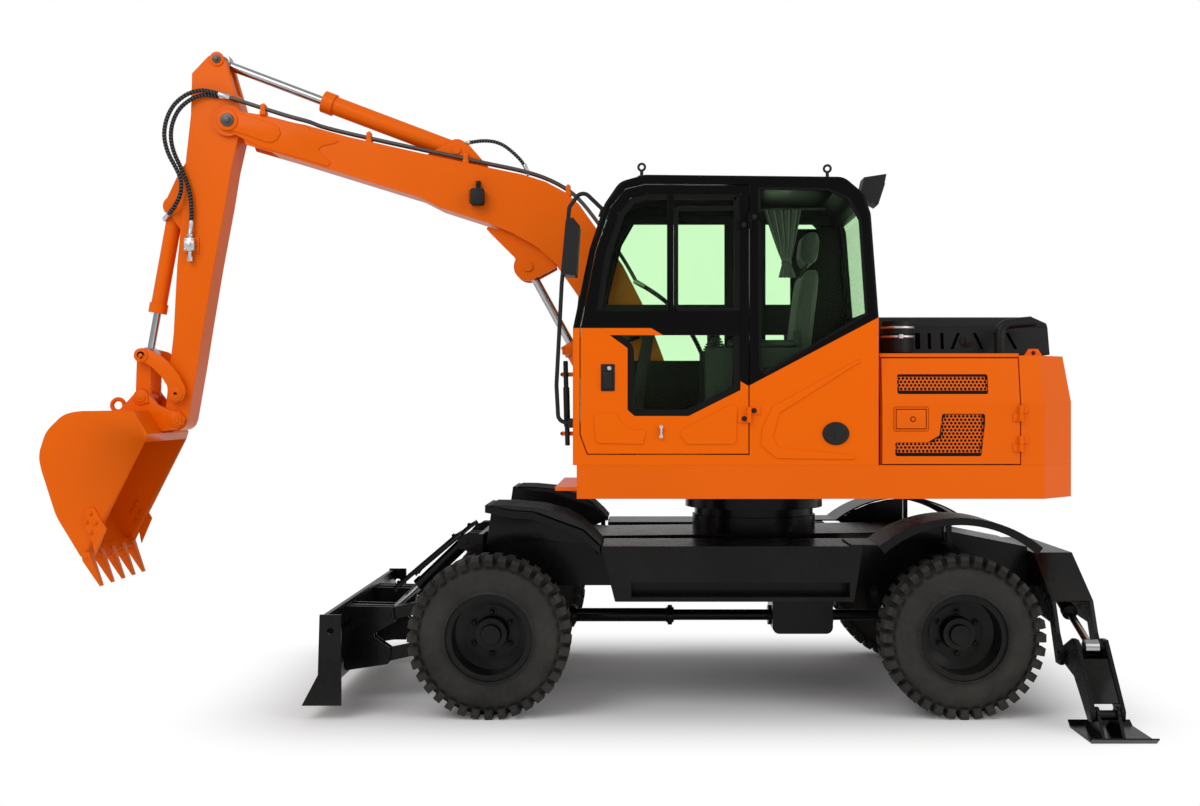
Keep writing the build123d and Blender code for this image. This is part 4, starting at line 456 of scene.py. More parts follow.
def roundBar(bm, start, end, radius, segments=20, cap=0.0):
    start, end = Vector(start), Vector(end)
    made = bmesh.ops.create_cone(
        bm, cap_ends=True, segments=segments, radius1=radius, radius2=radius, depth=(end - start).length
    )
    turn = Vector((0, 0, 1)).rotation_difference(end - start).to_matrix().to_4x4()
    bmesh.ops.transform(bm, verts=made["verts"], matrix=Matrix.Translation((start + end) / 2) @ turn)
    if cap:
        rims = {e for v in made["verts"] for e in v.link_edges if any(len(f.verts) > 4 for f in e.link_faces)}
        bmesh.ops.bevel(bm, geom=list(rims), offset=cap, segments=2, profile=0.5, affect="EDGES", material=-1)
    return made["verts"]


# ---- tyres ----
tyreShape = {
    "lugs": 36,
    "rounds": 72,
    "carcass": ((0.232, 0.0), (0.246, 0.020), (0.300, 0.012), (0.352, 0.020), (0.388, 0.042), (0.404, 0.082), (0.407, 0.1175)),
}


def makeTyre(name, settings):
    node = "tyre_" + name
    low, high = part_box(node)
    centre = (low + high) / 2
    width = high.y - low.y
    radius = (high.z - low.z) / 2
    bm = bmesh.new()
    half = [(r, width / 2 - inset) for r, inset in settings["carcass"]]
    ring = [(r, y) for r, y in half] + [(r, -y) for r, y in reversed(half[:-1])]
    verts = [bm.verts.new((r, y, 0)) for r, y in ring]
    edges = [bm.edges.new(pair) for pair in zip(verts, verts[1:] + verts[:1])]
    bmesh.ops.spin(
        bm, geom=verts + edges, axis=(0, 1, 0), cent=(0, 0, 0), steps=settings["rounds"], angle=2 * pi, use_merge=True
    )
    step = 2 * pi / settings["lugs"]
    for index in range(settings["lugs"]):
        for side in (-1, 1):
            addLug(bm, settings, radius, width, side, index * step + (step / 2 if side > 0 else 0), index)
    bmesh.ops.translate(bm, verts=bm.verts, vec=centre)
    obj = finishPiece("tread_" + name, bm, "tyreRubber", "wheel_" + name)
    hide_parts(node)
    return obj


def addLug(bm, settings, radius, width, side, turn, index):
    edge = width / 2
    outline = [(0.398, 0.012), (radius, 0.014), (radius - 0.001, edge - 0.010), (0.408, edge), (0.372, edge - 0.012), (0.392, edge - 0.05)]
    half = 0.021
    corners = [bm.verts.new((r, side * y, -half)) for r, y in outline]
    face = bm.faces.new(corners)
    grown = bmesh.ops.extrude_face_region(bm, geom=[face])
    moved = [v for v in grown["geom"] if isinstance(v, bmesh.types.BMVert)]
    bmesh.ops.translate(bm, verts=moved, vec=(0, 0, 2 * half))
    lug = corners + moved
    faces = {f for v in lug for f in v.link_faces}
    pocket = [f for f in faces if all(abs(abs(v.co.y) - edge) < 0.0125 for v in f.verts) and len(f.verts) == 4]
    shoulder = [f for f in pocket if min(v.co.x for v in f.verts) > 0.37 and max(v.co.x for v in f.verts) < 0.41]
    if shoulder:
        bmesh.ops.inset_region(bm, faces=shoulder, thickness=0.010)
        bmesh.ops.translate(bm, verts=list({v for f in shoulder for v in f.verts}), vec=(-0.004, -side * 0.009, 0))
    everything = {v for f in faces for v in f.verts} | {v for f in shoulder for v in f.verts}
    bmesh.ops.rotate(bm, verts=list(everything), cent=(0, 0, 0), matrix=Matrix.Rotation(-turn, 3, "Y"))


for wheel in ("front_left", "front_right", "rear_left", "rear_right"):
    makeTyre(wheel, tyreShape)
print("tyres made")

# ---- more helpers: lengths in metres, X from the swing axis ----
def at(x, y, z):
    return Vector((swingX + x, y, z))


def bevelEdges(bm, edges, width, segments=2):
    bmesh.ops.bevel(
        bm, geom=list(edges), offset=width, segments=segments, profile=0.5, affect="EDGES", material=-1
    )


def plate(bm, outline, near, far, corner=0.0, edge=0.0):
    # a flat shape in X and Z, between two places across the machine
    face = bm.faces.new([bm.verts.new(at(x, near, z)) for x, z in outline])
    if corner:
        done = bmesh.ops.bevel(
            bm, geom=face.verts[:], offset=corner, segments=4, profile=0.5, affect="VERTICES", material=-1
        )
        face = next(f for f in done["faces"] + bm.faces[:] if f.is_valid and len(f.verts) > 2 and not f.tag)
    return thicken(bm, face, (0, far - near, 0), edge)


def thicken(bm, face, reach, edge=0.0):
    grown = bmesh.ops.extrude_face_region(bm, geom=[face])
    moved = [v for v in grown["geom"] if isinstance(v, bmesh.types.BMVert)]
    bmesh.ops.translate(bm, verts=moved, vec=reach)
    whole = set(moved)
    for vert in moved:
        whole |= {other for link in vert.link_edges for other in link.verts}
    for f in {f for v in whole for f in v.link_faces}:
        f.tag = True
    if edge:
        ends = [e for e in {e for v in moved for e in v.link_edges} if all(v in moved for v in e.verts)]
        bevelEdges(bm, ends, edge)
        for f in bm.faces:
            f.tag = True
    return [v for v in whole if v.is_valid]


def block(bm, low, high, edge=0.0, segments=2):
    low, high = Vector(low), Vector(high)
    size = high - low
    centre = (low + high) / 2 + Vector((swingX, 0, 0))
    made = bmesh.ops.create_cube(bm, size=1, matrix=Matrix.Translation(centre) @ Matrix.Diagonal((*size, 1)))
    if edge:
        bevelEdges(bm, {e for v in made["verts"] for e in v.link_edges}, edge, segments)
    for f in bm.faces:
        f.tag = True


def bar(bm, start, end, radius, segments=16, cap=0.0):
    roundBar(bm, at(*start), at(*end), radius, segments, cap)
    for f in bm.faces:
        f.tag = True


def bolt(bm, place, out, radius=0.012, height=0.009):
    # a washer and a hexagon head, standing out along a direction
    place, out = Vector(place), Vector(out).normalized()
    bar(bm, place, place + out * 0.003, radius * 1.55, 20)
    bar(bm, place + out * 0.003, place + out * (0.003 + height), radius, 6, radius * 0.12)


def ring(bm, outline, near, far, band, corner=0.0):
    # a frame round an opening, band wide inside its outline
    own = bmesh.new()
    face = own.faces.new([own.verts.new(at(x, near, z)) for x, z in outline])
    if corner:
        bmesh.ops.bevel(
            own, geom=face.verts[:], offset=corner, segments=4, profile=0.5, affect="VERTICES", material=-1
        )
    rim = bmesh.ops.inset_region(
        own, faces=own.faces[:], thickness=band, use_boundary=True, use_even_offset=True
    )["faces"]
    bmesh.ops.delete(own, geom=[f for f in own.faces if f not in rim], context="FACES_ONLY")
    grown = bmesh.ops.extrude_face_region(own, geom=own.faces[:])
    moved = [v for v in grown["geom"] if isinstance(v, bmesh.types.BMVert)]
    bmesh.ops.translate(own, verts=moved, vec=(0, far - near, 0))
    mesh = bpy.data.meshes.new("ring")
    own.to_mesh(mesh)
    own.free()
    bm.from_mesh(mesh)
    bpy.data.meshes.remove(mesh)
    for f in bm.faces:
        f.tag = True


# ---- hoses and pipes ----
def routeCurve(name, route, radius, kind="NURBS"):
    curve = bpy.data.curves.new(name, "CURVE")
    curve.dimensions = "3D"
    curve.bevel_depth = radius
    curve.bevel_resolution = 3
    curve.use_fill_caps = True
    spline = curve.splines.new(kind)
    spline.points.add(len(route) - 1)
    for point, place in zip(spline.points, route):
        point.co = (*place, 1)
    if kind == "NURBS":
        spline.order_u = 3
        spline.use_endpoint_u = True
    spline.resolution_u = 8
    return curve


def curveMesh(curve):
    temp = bpy.data.objects.new("route", curve)
    bpy.context.scene.collection.objects.link(temp)
    mesh = bpy.data.meshes.new_from_object(temp.evaluated_get(bpy.context.evaluated_depsgraph_get()))
    bpy.data.objects.remove(temp)
    return mesh


def routeLine(curve):
    bare = curve.copy()
    bare.bevel_depth = 0
    return [v.co.copy() for v in curveMesh(bare).vertices]


def tubePiece(name, mesh, finish):
    mesh.materials.clear()
    mesh.materials.append(materials[finish])
    mesh.name = name
    for polygon in mesh.polygons:
        polygon.use_smooth = True
    obj = bpy.data.objects.new(name, mesh)
    bpy.context.scene.collection.objects.link(obj)
    return obj


def helixRoute(line, radius, pitch, perTurn=7):
    lengths = [(b - a).length for a, b in zip(line, line[1:])]
    total = sum(lengths)
    count = int(total / pitch * perTurn)
    side = (line[1] - line[0]).orthogonal().normalized()
    route, index, before = [], 0, 0.0
    for step in range(count + 1):
        here = total * step / count
        while index < len(lengths) - 1 and here > before + lengths[index]:
            before += lengths[index]
            index += 1
        ahead = (line[index + 1] - line[index]).normalized()
        side = (side - ahead * side.dot(ahead)).normalized()
        turn = 2 * pi * step / perTurn
        out = side * cos(turn) + ahead.cross(side) * sin(turn)
        route.append(line[index] + ahead * (here - before) + out * radius)
    return route


def makeHose(name, settings):
    route = [at(*point) for point in settings["route"]]
    radius = settings["diameter"] / 2
    curve = routeCurve(name, route, radius)
    line = routeLine(curve)
    print(name, "length", round(sum((b - a).length for a, b in zip(line, line[1:])), 3))
    hose = tubePiece(name, curveMesh(curve), "hoseRubber")
    extras = []
    if settings.get("spiral"):
        helix = routeCurve(name + "_spiral", helixRoute(line, radius, settings["spiral"]), 0.0034, "POLY")
        helix.bevel_resolution = 0
        extras.append(tubePiece(name + "_spiral", curveMesh(helix), "hoseSpiral"))
    bodies = settings["bodies"]
    for obj in [hose] + extras:
        if len(bodies) == 2:
            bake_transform(obj)
        else:
            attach(obj, bodies[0])
    for end, inside, body in ((0, 1, bodies[0]), (-1, -2, bodies[-1])):
        place = line[end]
        away = (place - line[inside]).normalized()
        bm = bmesh.new()
        roundBar(bm, place - away * 0.055, place - away * 0.004, radius * 1.22, 20, 0.0015)
        roundBar(bm, place - away * 0.012, place + away * 0.016, radius * 1.32, 6, 0.001)
        ferrule = finishPiece(f"{name}_fitting_{'start' if end == 0 else 'end'}", bm, "zincSteel", body)
        extras.append(ferrule)
    return hose


boomPipes = {
    "radius": 0.011,
    "across": (-0.002, 0.026),
    "tip": (-2.600, 0.028),     # ahead of this they step outwards, clear of the arm
    "route": (
        (-3.138, 3.492), (-2.950, 3.432), (-2.760, 3.372), (-2.648, 3.345), (-2.585, 3.318), (-2.250, 3.240),
        (-1.986, 3.184), (-1.577, 3.096), (-1.385, 3.058), (-1.236, 3.012), (-1.108, 2.944), (-1.022, 2.868),
        (-0.900, 2.705), (-0.756, 2.500), (-0.700, 2.390),
    ),
    "clamps": ((-2.925, 3.394), (-2.300, 3.232), (-1.720, 3.108), (-1.108, 2.915), (-0.830, 2.560)),
}
armHoses = {
    "arm_hose_front": {
        "route": (
            (-3.138, -0.030, 3.492), (-3.210, -0.034, 3.515), (-3.290, -0.035, 3.533), (-3.372, -0.050, 3.506),
            (-3.452, -0.056, 3.440), (-3.497, -0.058, 3.342), (-3.508, -0.058, 3.243), (-3.482, -0.055, 3.144),
            (-3.436, -0.052, 3.064), (-3.402, -0.048, 2.985), (-3.414, -0.044, 2.895), (-3.464, -0.022, 2.826),
            (-3.505, 0.016, 2.796), (-3.534, 0.050, 2.778),
        ),
        "diameter": 0.024, "length": 1.08, "spiral": 0.019, "bodies": ("boom", "arm"),
        "across": ((-3.160, 0, 3.500), (-3.480, 0, 3.000)),
    },
    "arm_hose_valve": {
        "route": (
            (-3.138, -0.002, 3.492), (-3.205, -0.010, 3.500), (-3.282, -0.020, 3.508), (-3.356, -0.030, 3.480),
            (-3.430, -0.030, 3.418), (-3.470, -0.029, 3.330), (-3.478, -0.028, 3.240), (-3.456, -0.026, 3.150),
            (-3.414, -0.025, 3.066), (-3.372, -0.024, 2.960), (-3.350, -0.023, 2.830), (-3.358, -0.021, 2.700),
        ),
        "diameter": 0.024, "length": 1.07, "spiral": 0.019, "bodies": ("boom", "arm"),
        "across": ((-3.160, 0, 3.500), (-3.480, 0, 3.000)),
    },
}
ramHose = {
    "arm_ram_hose": {
        "route": (
            (-1.745, 0.052, 3.222), (-1.700, 0.030, 3.232), (-1.600, 0.012, 3.240), (-1.510, 0.006, 3.222),
            (-1.430, 0.006, 3.160), (-1.370, 0.010, 3.095), (-1.350, 0.012, 3.044),
        ),
        "diameter": 0.020, "length": 0.47, "spiral": 0.017, "bodies": ("arm_barrel", "boom"),
        "across": ((-1.745, 0.05, 3.222), (-1.40, 0.006, 3.12)),
    },
}
footHoses = {
    f"boom_foot_hose_{number}": {
        "route": (
            (-0.250, y + 0.02, 1.362), (-0.250, y + 0.02, 1.460), (-0.235, y + 0.015, 1.640), (-0.260, y + 0.010, 1.840),
            (-0.350, y + 0.004, 2.060), (-0.480, y, 2.240), (-0.610, y, 2.340), (-0.700, y, 2.390),
        ),
        "diameter": 0.024, "length": 1.17, "spiral": 0.019, "bodies": ("upper_frame", "boom"),
        "across": ((-0.250, y, 1.60), (-0.62, y, 2.33)),
    }
    for number, y in enumerate((-0.002, 0.024), 1)
}


def makeBoomPipes(settings):
    whole = bmesh.new()
    tip, step = settings["tip"]
    for y in settings["across"]:
        line = [at(x, y - (step if x < tip else 0), z) for x, z in settings["route"]]
        mesh = curveMesh(routeCurve("pipe", line, settings["radius"]))
        whole.from_mesh(mesh)
    finishPiece("boom_pipes", whole, "pinSteel", "boom")
    bm = bmesh.new()
    for x, z in settings["clamps"]:
        low, high = (y - (step if x < tip else 0) for y in (settings["across"][0] - 0.016, settings["across"][1] + 0.016))
        block(bm, (x - 0.018, low, z - 0.012), (x + 0.018, high, z + 0.012), 0.003)
        block(bm, (x - 0.014, low + 0.003, z + 0.010), (x + 0.014, high - 0.003, z + 0.052), 0.004)
        bolt(bm, (x, (low + high) / 2, z + 0.050), (0, 0, 1), 0.008, 0.007)
    finishPiece("boom_pipe_clamps", bm, "orangePaint", "boom")


makeBoomPipes(boomPipes)
for name, settings in {**armHoses, **ramHose, **footHoses}.items():
    makeHose(name, settings)
print("hoses made")

# ---- boom and arm ----
boomPlates = {
    "thick": 0.006,
    "sides": (-0.020, 0.220),
    "outline": (
        (-3.150, 3.409), (-3.058, 3.404), (-2.912, 3.382), (-2.666, 3.318), (-2.648, 3.290), (-2.502, 3.249),
        (-2.479, 3.231), (-2.493, 3.217), (-2.579, 3.197), (-2.599, 3.176), (-2.525, 3.098), (-2.543, 3.076),
        (-2.721, 3.131), (-2.949, 3.194), (-3.104, 3.272), (-3.187, 3.318),
    ),
    "lobe": (
        (-3.109, 3.402), (-2.986, 3.368), (-2.858, 3.327), (-2.830, 3.304), (-2.821, 3.272), (-2.840, 3.236),
        (-2.876, 3.219), (-2.913, 3.222), (-3.022, 3.263), (-3.141, 3.298),
    ),
    "lobeThick": 0.014,
}


def makeBoomPlates(settings):
    bm = bmesh.new()
    for side, face in zip((-1, 1), settings["sides"]):
        plate(bm, settings["outline"], face, face + side * settings["thick"], edge=0.0015)
        plate(bm, settings["lobe"], face, face + side * settings["lobeThick"], edge=0.004)
    finishPiece("boom_tip_plates", bm, "orangePaint", "boom")


makeBoomPlates(boomPlates)

# body, X, Z, place across, way out, radius of the collar, radius of the pin's end
pinEnds = {
    "boom": ((-3.136, 3.351, -0.034, -1, 0.062, 0.040), (-3.136, 3.351, 0.234, 1, 0.062, 0.040)),
    "arm": (
        (-3.211, 3.725, 0.005, -1, 0.044, 0.026), (-3.211, 3.725, 0.195, 1, 0.044, 0.026),
        (-3.440, 1.720, 0.005, -1, 0.040, 0.024), (-3.440, 1.720, 0.195, 1, 0.040, 0.024),
    ),
}


def makePinEnds(settings):
    for body, ends in settings.items():
        collars, pins = bmesh.new(), bmesh.new()
        for x, z, y, side, wide, radius in ends:
            bar(collars, (x, y - side * 0.002, z), (x, y + side * 0.008, z), wide, 40, 0.003)
            bar(pins, (x, y, z), (x, y + side * 0.014, z), radius, 32, 0.002)
            bar(pins, (x, y, z), (x, y + side * 0.024, z), radius * 0.55, 6, 0.002)
        finishPiece(f"{body}_pin_collars", collars, "orangePaint", body)
        finishPiece(f"{body}_pin_ends", pins, "pinSteel", body)


makePinEnds(pinEnds)

armValve = {"x": -3.362, "z": 2.610, "wide": 0.062, "high": 0.078, "face": 0.005, "out": 0.052}


def makeArmValve(settings):
    x, z, half = settings["x"], settings["z"], settings["wide"] / 2
    face, out = settings["face"], settings["face"] - settings["out"]
    bm = bmesh.new()
    block(bm, (x - half, out, z - settings["high"] / 2), (x + half, face - 0.008, z + settings["high"] / 2), 0.004)
    bar(bm, (x, out + 0.024, z - 0.075), (x, out + 0.024, z + 0.088), 0.013, 20, 0.002)
    bar(bm, (x, out + 0.024, z - 0.100), (x, out + 0.024, z - 0.070), 0.018, 6, 0.002)
    bar(bm, (x, out + 0.024, z + 0.050), (x, out + 0.024, z + 0.066), 0.019, 6, 0.002)
    bar(bm, (x, out - 0.012, z), (x, out + 0.004, z), 0.013, 20, 0.002)
    for across, up in ((-1, -1), (-1, 1), (1, -1), (1, 1)):
        bolt(bm, (x + across * 0.021, out, z + up * 0.029), (0, -1, 0), 0.005, 0.004)
    finishPiece("arm_valve", bm, "zincSteel", "arm")
    bm = bmesh.new()
    block(bm, (x - half - 0.010, face - 0.008, z - 0.048), (x + half + 0.016, face + 0.001, z + 0.048), 0.002)
    finishPiece("arm_valve_plate", bm, "orangePaint", "arm")


makeArmValve(armValve)

boomLamp = {"x": (-1.702, -1.602), "z": (2.838, 2.938), "y": (-0.100, -0.036), "face": -0.020}


def makeBoomLamp(settings):
    (x0, x1), (z0, z1), (y0, y1) = settings["x"], settings["z"], settings["y"]
    bm = bmesh.new()
    block(bm, (x0 + 0.018, y0, z0), (x1, y1, z1), 0.014, 3)
    middle = (x0 + x1) / 2 + 0.01
    block(bm, (middle - 0.014, y1 - 0.012, z0 + 0.030), (middle + 0.014, settings["face"], z1 + 0.050), 0.003)
    bolt(bm, (middle, y1 - 0.012, z1 + 0.030), (0, -1, 0), 0.009, 0.007)
    finishPiece("boom_lamp", bm, "blackTrim", "boom")
    bm = bmesh.new()
    block(bm, (x0 + 0.010, y0 + 0.008, z0 + 0.008), (x0 + 0.024, y1 - 0.008, z1 - 0.008), 0.005)
    finishPiece("boom_lamp_lens", bm, "lampLens", "boom")


makeBoomLamp(boomLamp)
print("boom and arm pieces made")

# ---- mudguards, stabiliser faces and drive shaft ----
mudguards = {
    "line": ((-1.492, 1.129), (-1.352, 1.100), (-1.243, 1.093), (-0.978, 0.996), (-0.890, 0.913)),     # the plate beneath
    "crown": ((-0.884, 0.922), (-0.923, 0.966), (-0.987, 1.026), (-1.073, 1.078), (-1.200, 1.110), (-1.370, 1.126), (-1.466, 1.127)),
    "across": (0.606, 0.992), "ribs": 6, "ribWide": 0.024, "ribHigh": 0.005,
    "skirt": (
        (-1.494, 1.128), (-1.352, 1.099), (-1.243, 1.092), (-0.978, 0.995), (-0.893, 0.914), (-0.960, 0.885),
        (-1.250, 0.900), (-1.470, 0.880), (-1.530, 0.880),
    ),
    "rearSkirt": ((0.589, 0.911), (0.685, 0.974), (0.795, 1.021), (0.905, 1.046), (1.006, 1.053), (1.006, 0.9), (0.635, 0.88)),
    "skirtAcross": (0.593, 0.599),
}


def makeMudguards(settings):
    near, far = settings["across"]
    for side, hand in ((-1, "left"), (1, "right")):
        bm = bmesh.new()
        plate(bm, settings["line"] + settings["crown"], side * near, side * far, edge=0.008)
        gap = (far - near - settings["ribWide"]) / (settings["ribs"] - 1)
        raised = tuple((x + 0.002, z + settings["ribHigh"]) for x, z in settings["crown"])
        lowered = tuple((x, z - 0.004) for x, z in reversed(settings["crown"]))
        for index in range(settings["ribs"]):
            start = near + index * gap
            plate(bm, raised + lowered, side * start, side * (start + settings["ribWide"]), edge=0.002)
        finishPiece("front_mudguard_" + hand, bm, "blackTrim", "undercarriage")
        bm = bmesh.new()
        low, high = settings["skirtAcross"]
        for outline in (settings["skirt"], settings["rearSkirt"]):
            plate(bm, outline, side * low, side * high, edge=0.001)
        for x, z in ((-1.440, 1.060), (-1.240, 1.050), (-1.060, 0.980), (-1.250, 0.930)):
            bolt(bm, (x, side * high, z), (0, side, 0), 0.009, 0.006)
        finishPiece("mudguard_skirts_" + hand, bm, "chassisBlack", "undercarriage")


makeMudguards(mudguards)

# the outer face of each stabiliser leg, as (Y, Z) outlines carried along X
legFace = {
    "x": (1.588, 1.720),
    "face": ((1.172, 0.357), (1.331, 0.164), (1.325, 0.159), (1.166, 0.352)),
}


def crossPlate(bm, outline, low, high, edge):
    face = bm.faces.new([bm.verts.new(at(low, y, z)) for y, z in outline])
    grown = bmesh.ops.extrude_face_region(bm, geom=[face])["geom"]
    moved = [v for v in grown if isinstance(v, bmesh.types.BMVert)]
    bmesh.ops.translate(bm, verts=moved, vec=(high - low, 0, 0))
    made = {f for v in moved for f in v.link_faces} | {face}
    bmesh.ops.recalc_face_normals(bm, faces=list(made))
    bevelEdges(bm, {e for f in made for e in f.edges}, edge)


def makeLegFaces(settings):
    for side, hand in ((-1, "left"), (1, "right")):
        bm = bmesh.new()
        crossPlate(bm, [(side * y, z) for y, z in settings["face"]], *settings["x"], 0.001)
        finishPiece("leg_face_" + hand, bm, "chassisBlack", "stabiliser_leg_" + hand)


makeLegFaces(legFace)

shaftSleeve = {"z": 0.400, "tube": (-1.060, -0.520), "radius": 0.040, "yokes": (-0.500, -1.080), "yoke": 0.046}


def makeShaftSleeve(settings):
    bm = bmesh.new()
    z = settings["z"]
    start, end = settings["tube"]
    bar(bm, (start, 0, z), (end, 0, z), settings["radius"], 32, 0.004)
    for x in settings["yokes"]:
        bar(bm, (x - 0.024, 0, z), (x + 0.024, 0, z), settings["yoke"], 28, 0.006)
        bar(bm, (x, -0.058, z), (x, 0.058, z), 0.014, 20, 0.002)
        bar(bm, (x, 0, z - 0.058), (x, 0, z + 0.058), 0.014, 20, 0.002)
    finishPiece("drive_shaft_sleeve", bm, "chassisBlack", "undercarriage")


makeShaftSleeve(shaftSleeve)
print("mudguards and leg faces made")

# ---- bucket and its linkage ----
bucketShape = {
    "middle": 0.100, "half": 0.360, "plate": 0.016, "round": 0.036,
    "profile": (
        (-3.890, 0.758), (-3.920, 0.780), (-4.060, 1.010), (-4.150, 1.291), (-4.162, 1.368), (-4.120, 1.500),
        (-4.020, 1.600), (-3.930, 1.620), (-3.610, 1.620), (-3.532, 1.486), (-3.545, 1.440),
    ),
    "lip": ((-3.928, 0.800), (-3.900, 0.822), (-3.858, 0.772), (-3.884, 0.746)),
    "ear": (
        (-3.900, 1.612), (-3.784, 1.628), (-3.691, 1.726), (-3.652, 1.751), (-3.608, 1.716), (-3.554, 1.653),
        (-3.486, 1.624), (-3.427, 1.614), (-3.393, 1.575), (-3.404, 1.535), (-3.447, 1.508), (-3.535, 1.497), (-3.620, 1.610),
    ),
    "earAcross": (0.100, 0.124),
    "pins": ((-3.655, 1.700), (-3.455, 1.569)),
    "cutter": ((-3.897, 0.971), (-3.883, 1.051), (-3.836, 1.060), (-3.765, 0.937), (-3.831, 0.781), (-3.845, 0.857)),
    "cutterBolts": ((-3.855, 1.030), (-3.880, 0.980), (-3.826, 0.975), (-3.855, 0.918)),
    "tooth": ((-3.914, 0.790), (-3.868, 0.806), (-3.846, 0.740), (-3.798, 0.606), (-3.812, 0.602), (-3.908, 0.750)),
    "teeth": 5, "toothWide": 0.062, "tipShare": 0.5,
    "eye": (-3.838, 1.652), "eyeRadius": 0.037, "eyeWire": 0.013,
}


def makeBucket(settings):
    middle, half = settings["middle"], settings["half"]
    bm = bmesh.new()
    face = bm.faces.new([bm.verts.new(at(x, middle - half, z)) for x, z in settings["profile"]])
    rounded = [v for v in face.verts if v.co.x - swingX < -3.925 and v.co.z > 0.9]
    bmesh.ops.bevel(
        bm, geom=rounded, offset=settings["round"], segments=5, profile=0.5, affect="VERTICES", material=-1
    )
    grown = bmesh.ops.extrude_face_region(bm, geom=bm.faces[:])
    moved = [v for v in grown["geom"] if isinstance(v, bmesh.types.BMVert)]
    bmesh.ops.translate(bm, verts=moved, vec=(0, 2 * half, 0))
    bmesh.ops.recalc_face_normals(bm, faces=bm.faces)
    mouth = Vector((0.682, 0, -0.345)).normalized()
    open_ = max((f for f in bm.faces if abs(f.normal.y) < 0.5), key=lambda f: f.normal.dot(mouth) * f.calc_area())
    bmesh.ops.delete(bm, geom=[open_], context="FACES_ONLY")
    shell = finishPiece("bucket_shell", bm, "orangePaint", "bucket", smooth=25)
    wall = shell.modifiers.new("wall", "SOLIDIFY")
    wall.thickness = settings["plate"]
    wall.offset = -1
    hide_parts("bucket")
    bm = bmesh.new()
    for side in (-1, 1):
        near, far = (middle + side * across for across in settings["earAcross"])
        plate(bm, settings["ear"], near, far, edge=0.003)
        for x, z in settings["pins"]:
            bar(bm, (x, far - side * 0.002, z), (x, far + side * 0.008, z), 0.046, 36, 0.003)
            bar(bm, (x, far, z), (x, far + side * 0.014, z), 0.030, 28, 0.002)
            bar(bm, (x, far, z), (x, far + side * 0.017, z), 0.012, 20, 0.001)
            bolt(bm, (x + 0.040, far, z - 0.030), (0, side, 0), 0.007, 0.006)
    for (x, z), radius, reach in zip(settings["pins"], (0.025, 0.030), (0.124, 0.124)):
        bar(bm, (x, middle - reach, z), (x, middle + reach, z), radius, 32)
    finishPiece("bucket_ears", bm, "orangePaint", "bucket")
    bm = bmesh.new()
    plate(bm, settings["lip"], middle - half - 0.002, middle + half + 0.002, edge=0.001)
    spread = half + 0.004 - settings["toothWide"] / 2
    for index in range(settings["teeth"]):
        y = middle - spread + index * 2 * spread / (settings["teeth"] - 1)
        wide = settings["toothWide"] / 2
        corners = plate(bm, settings["tooth"], y - wide, y + wide)
        for vert in corners:
            share = min(1.0, max(0.0, (0.80 - vert.co.z) / 0.20))
            vert.co.y = y + (vert.co.y - y) * (1 - share * settings["tipShare"])
        bevelEdges(bm, {e for v in corners for e in v.link_edges}, 0.003)
        bar(bm, (-3.884, y - wide - 0.001, 0.772), (-3.884, y + wide + 0.001, 0.772), 0.010, 16, 0.001)
    finishPiece("bucket_teeth", bm, "orangePaint", "bucket")
    bm = bmesh.new()
    for side in (-1, 1):
        outer = middle + side * half
        plate(bm, settings["cutter"], outer - side * 0.001, outer + side * 0.014, edge=0.002)
        for x, z in settings["cutterBolts"]:
            bolt(bm, (x, outer + side * 0.014, z), (0, side, 0), 0.010, 0.008)
            bolt(bm, (x, outer - side * settings["plate"], z), (0, -side, 0), 0.010, 0.006)
    torus(bm, at(settings["eye"][0], middle, settings["eye"][1]), (0, 1, 0), settings["eyeRadius"], settings["eyeWire"])
    finishPiece("bucket_cutters_and_eye", bm, "orangePaint", "bucket")


def torus(bm, centre, axis, radius, wire, steps=28):
    # a ring swept from one round section
    axis = Vector(axis).normalized()
    side = axis.orthogonal().normalized()
    made = bmesh.ops.create_circle(bm, segments=12, radius=wire)
    upright = Matrix((side, axis, side.cross(axis))).transposed().to_4x4()
    bmesh.ops.transform(bm, verts=made["verts"], matrix=Matrix.Translation(Vector(centre) + side * radius) @ upright)
    edges = list({e for v in made["verts"] for e in v.link_edges})
    bmesh.ops.spin(bm, geom=made["verts"] + edges, cent=centre, axis=axis, steps=steps, angle=2 * pi, use_merge=True)
    for f in bm.faces:
        f.tag = True


makeBucket(bucketShape)

rockerShape = {
    "outline": (
        (-3.686, 1.955), (-3.674, 1.984), (-3.644, 1.994), (-3.585, 1.979), (-3.527, 1.945), (-3.468, 1.892),
        (-3.419, 1.828), (-3.390, 1.770), (-3.382, 1.730), (-3.400, 1.682), (-3.444, 1.667), (-3.482, 1.685),
        (-3.493, 1.770), (-3.527, 1.823), (-3.575, 1.872), (-3.624, 1.906), (-3.666, 1.916),
    ),
    "middle": 0.100, "across": (0.129, 0.147),
    "joints": ((-3.647, 1.950, 0.062), (-3.440, 1.720, 0.129)),
}


def makeRocker(settings):
    bm = bmesh.new()
    for side in (-1, 1):
        near, far = (settings["middle"] + side * across for across in settings["across"])
        plate(bm, settings["outline"], near, far, edge=0.003)
        for x, z, inner in settings["joints"]:
            bar(bm, (x, settings["middle"] + side * inner, z), (x, far + side * 0.006, z), 0.025, 32, 0.002)
            bar(bm, (x, far - side * 0.002, z), (x, far + side * 0.006, z), 0.042, 36, 0.003)
            bar(bm, (x, far, z), (x, far + side * 0.010, z), 0.012, 20, 0.001)
    rocker = finishPiece("rocker_plates", bm, "orangePaint", "rocker")
    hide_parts("rocker")


makeRocker(rockerShape)
print("bucket made")

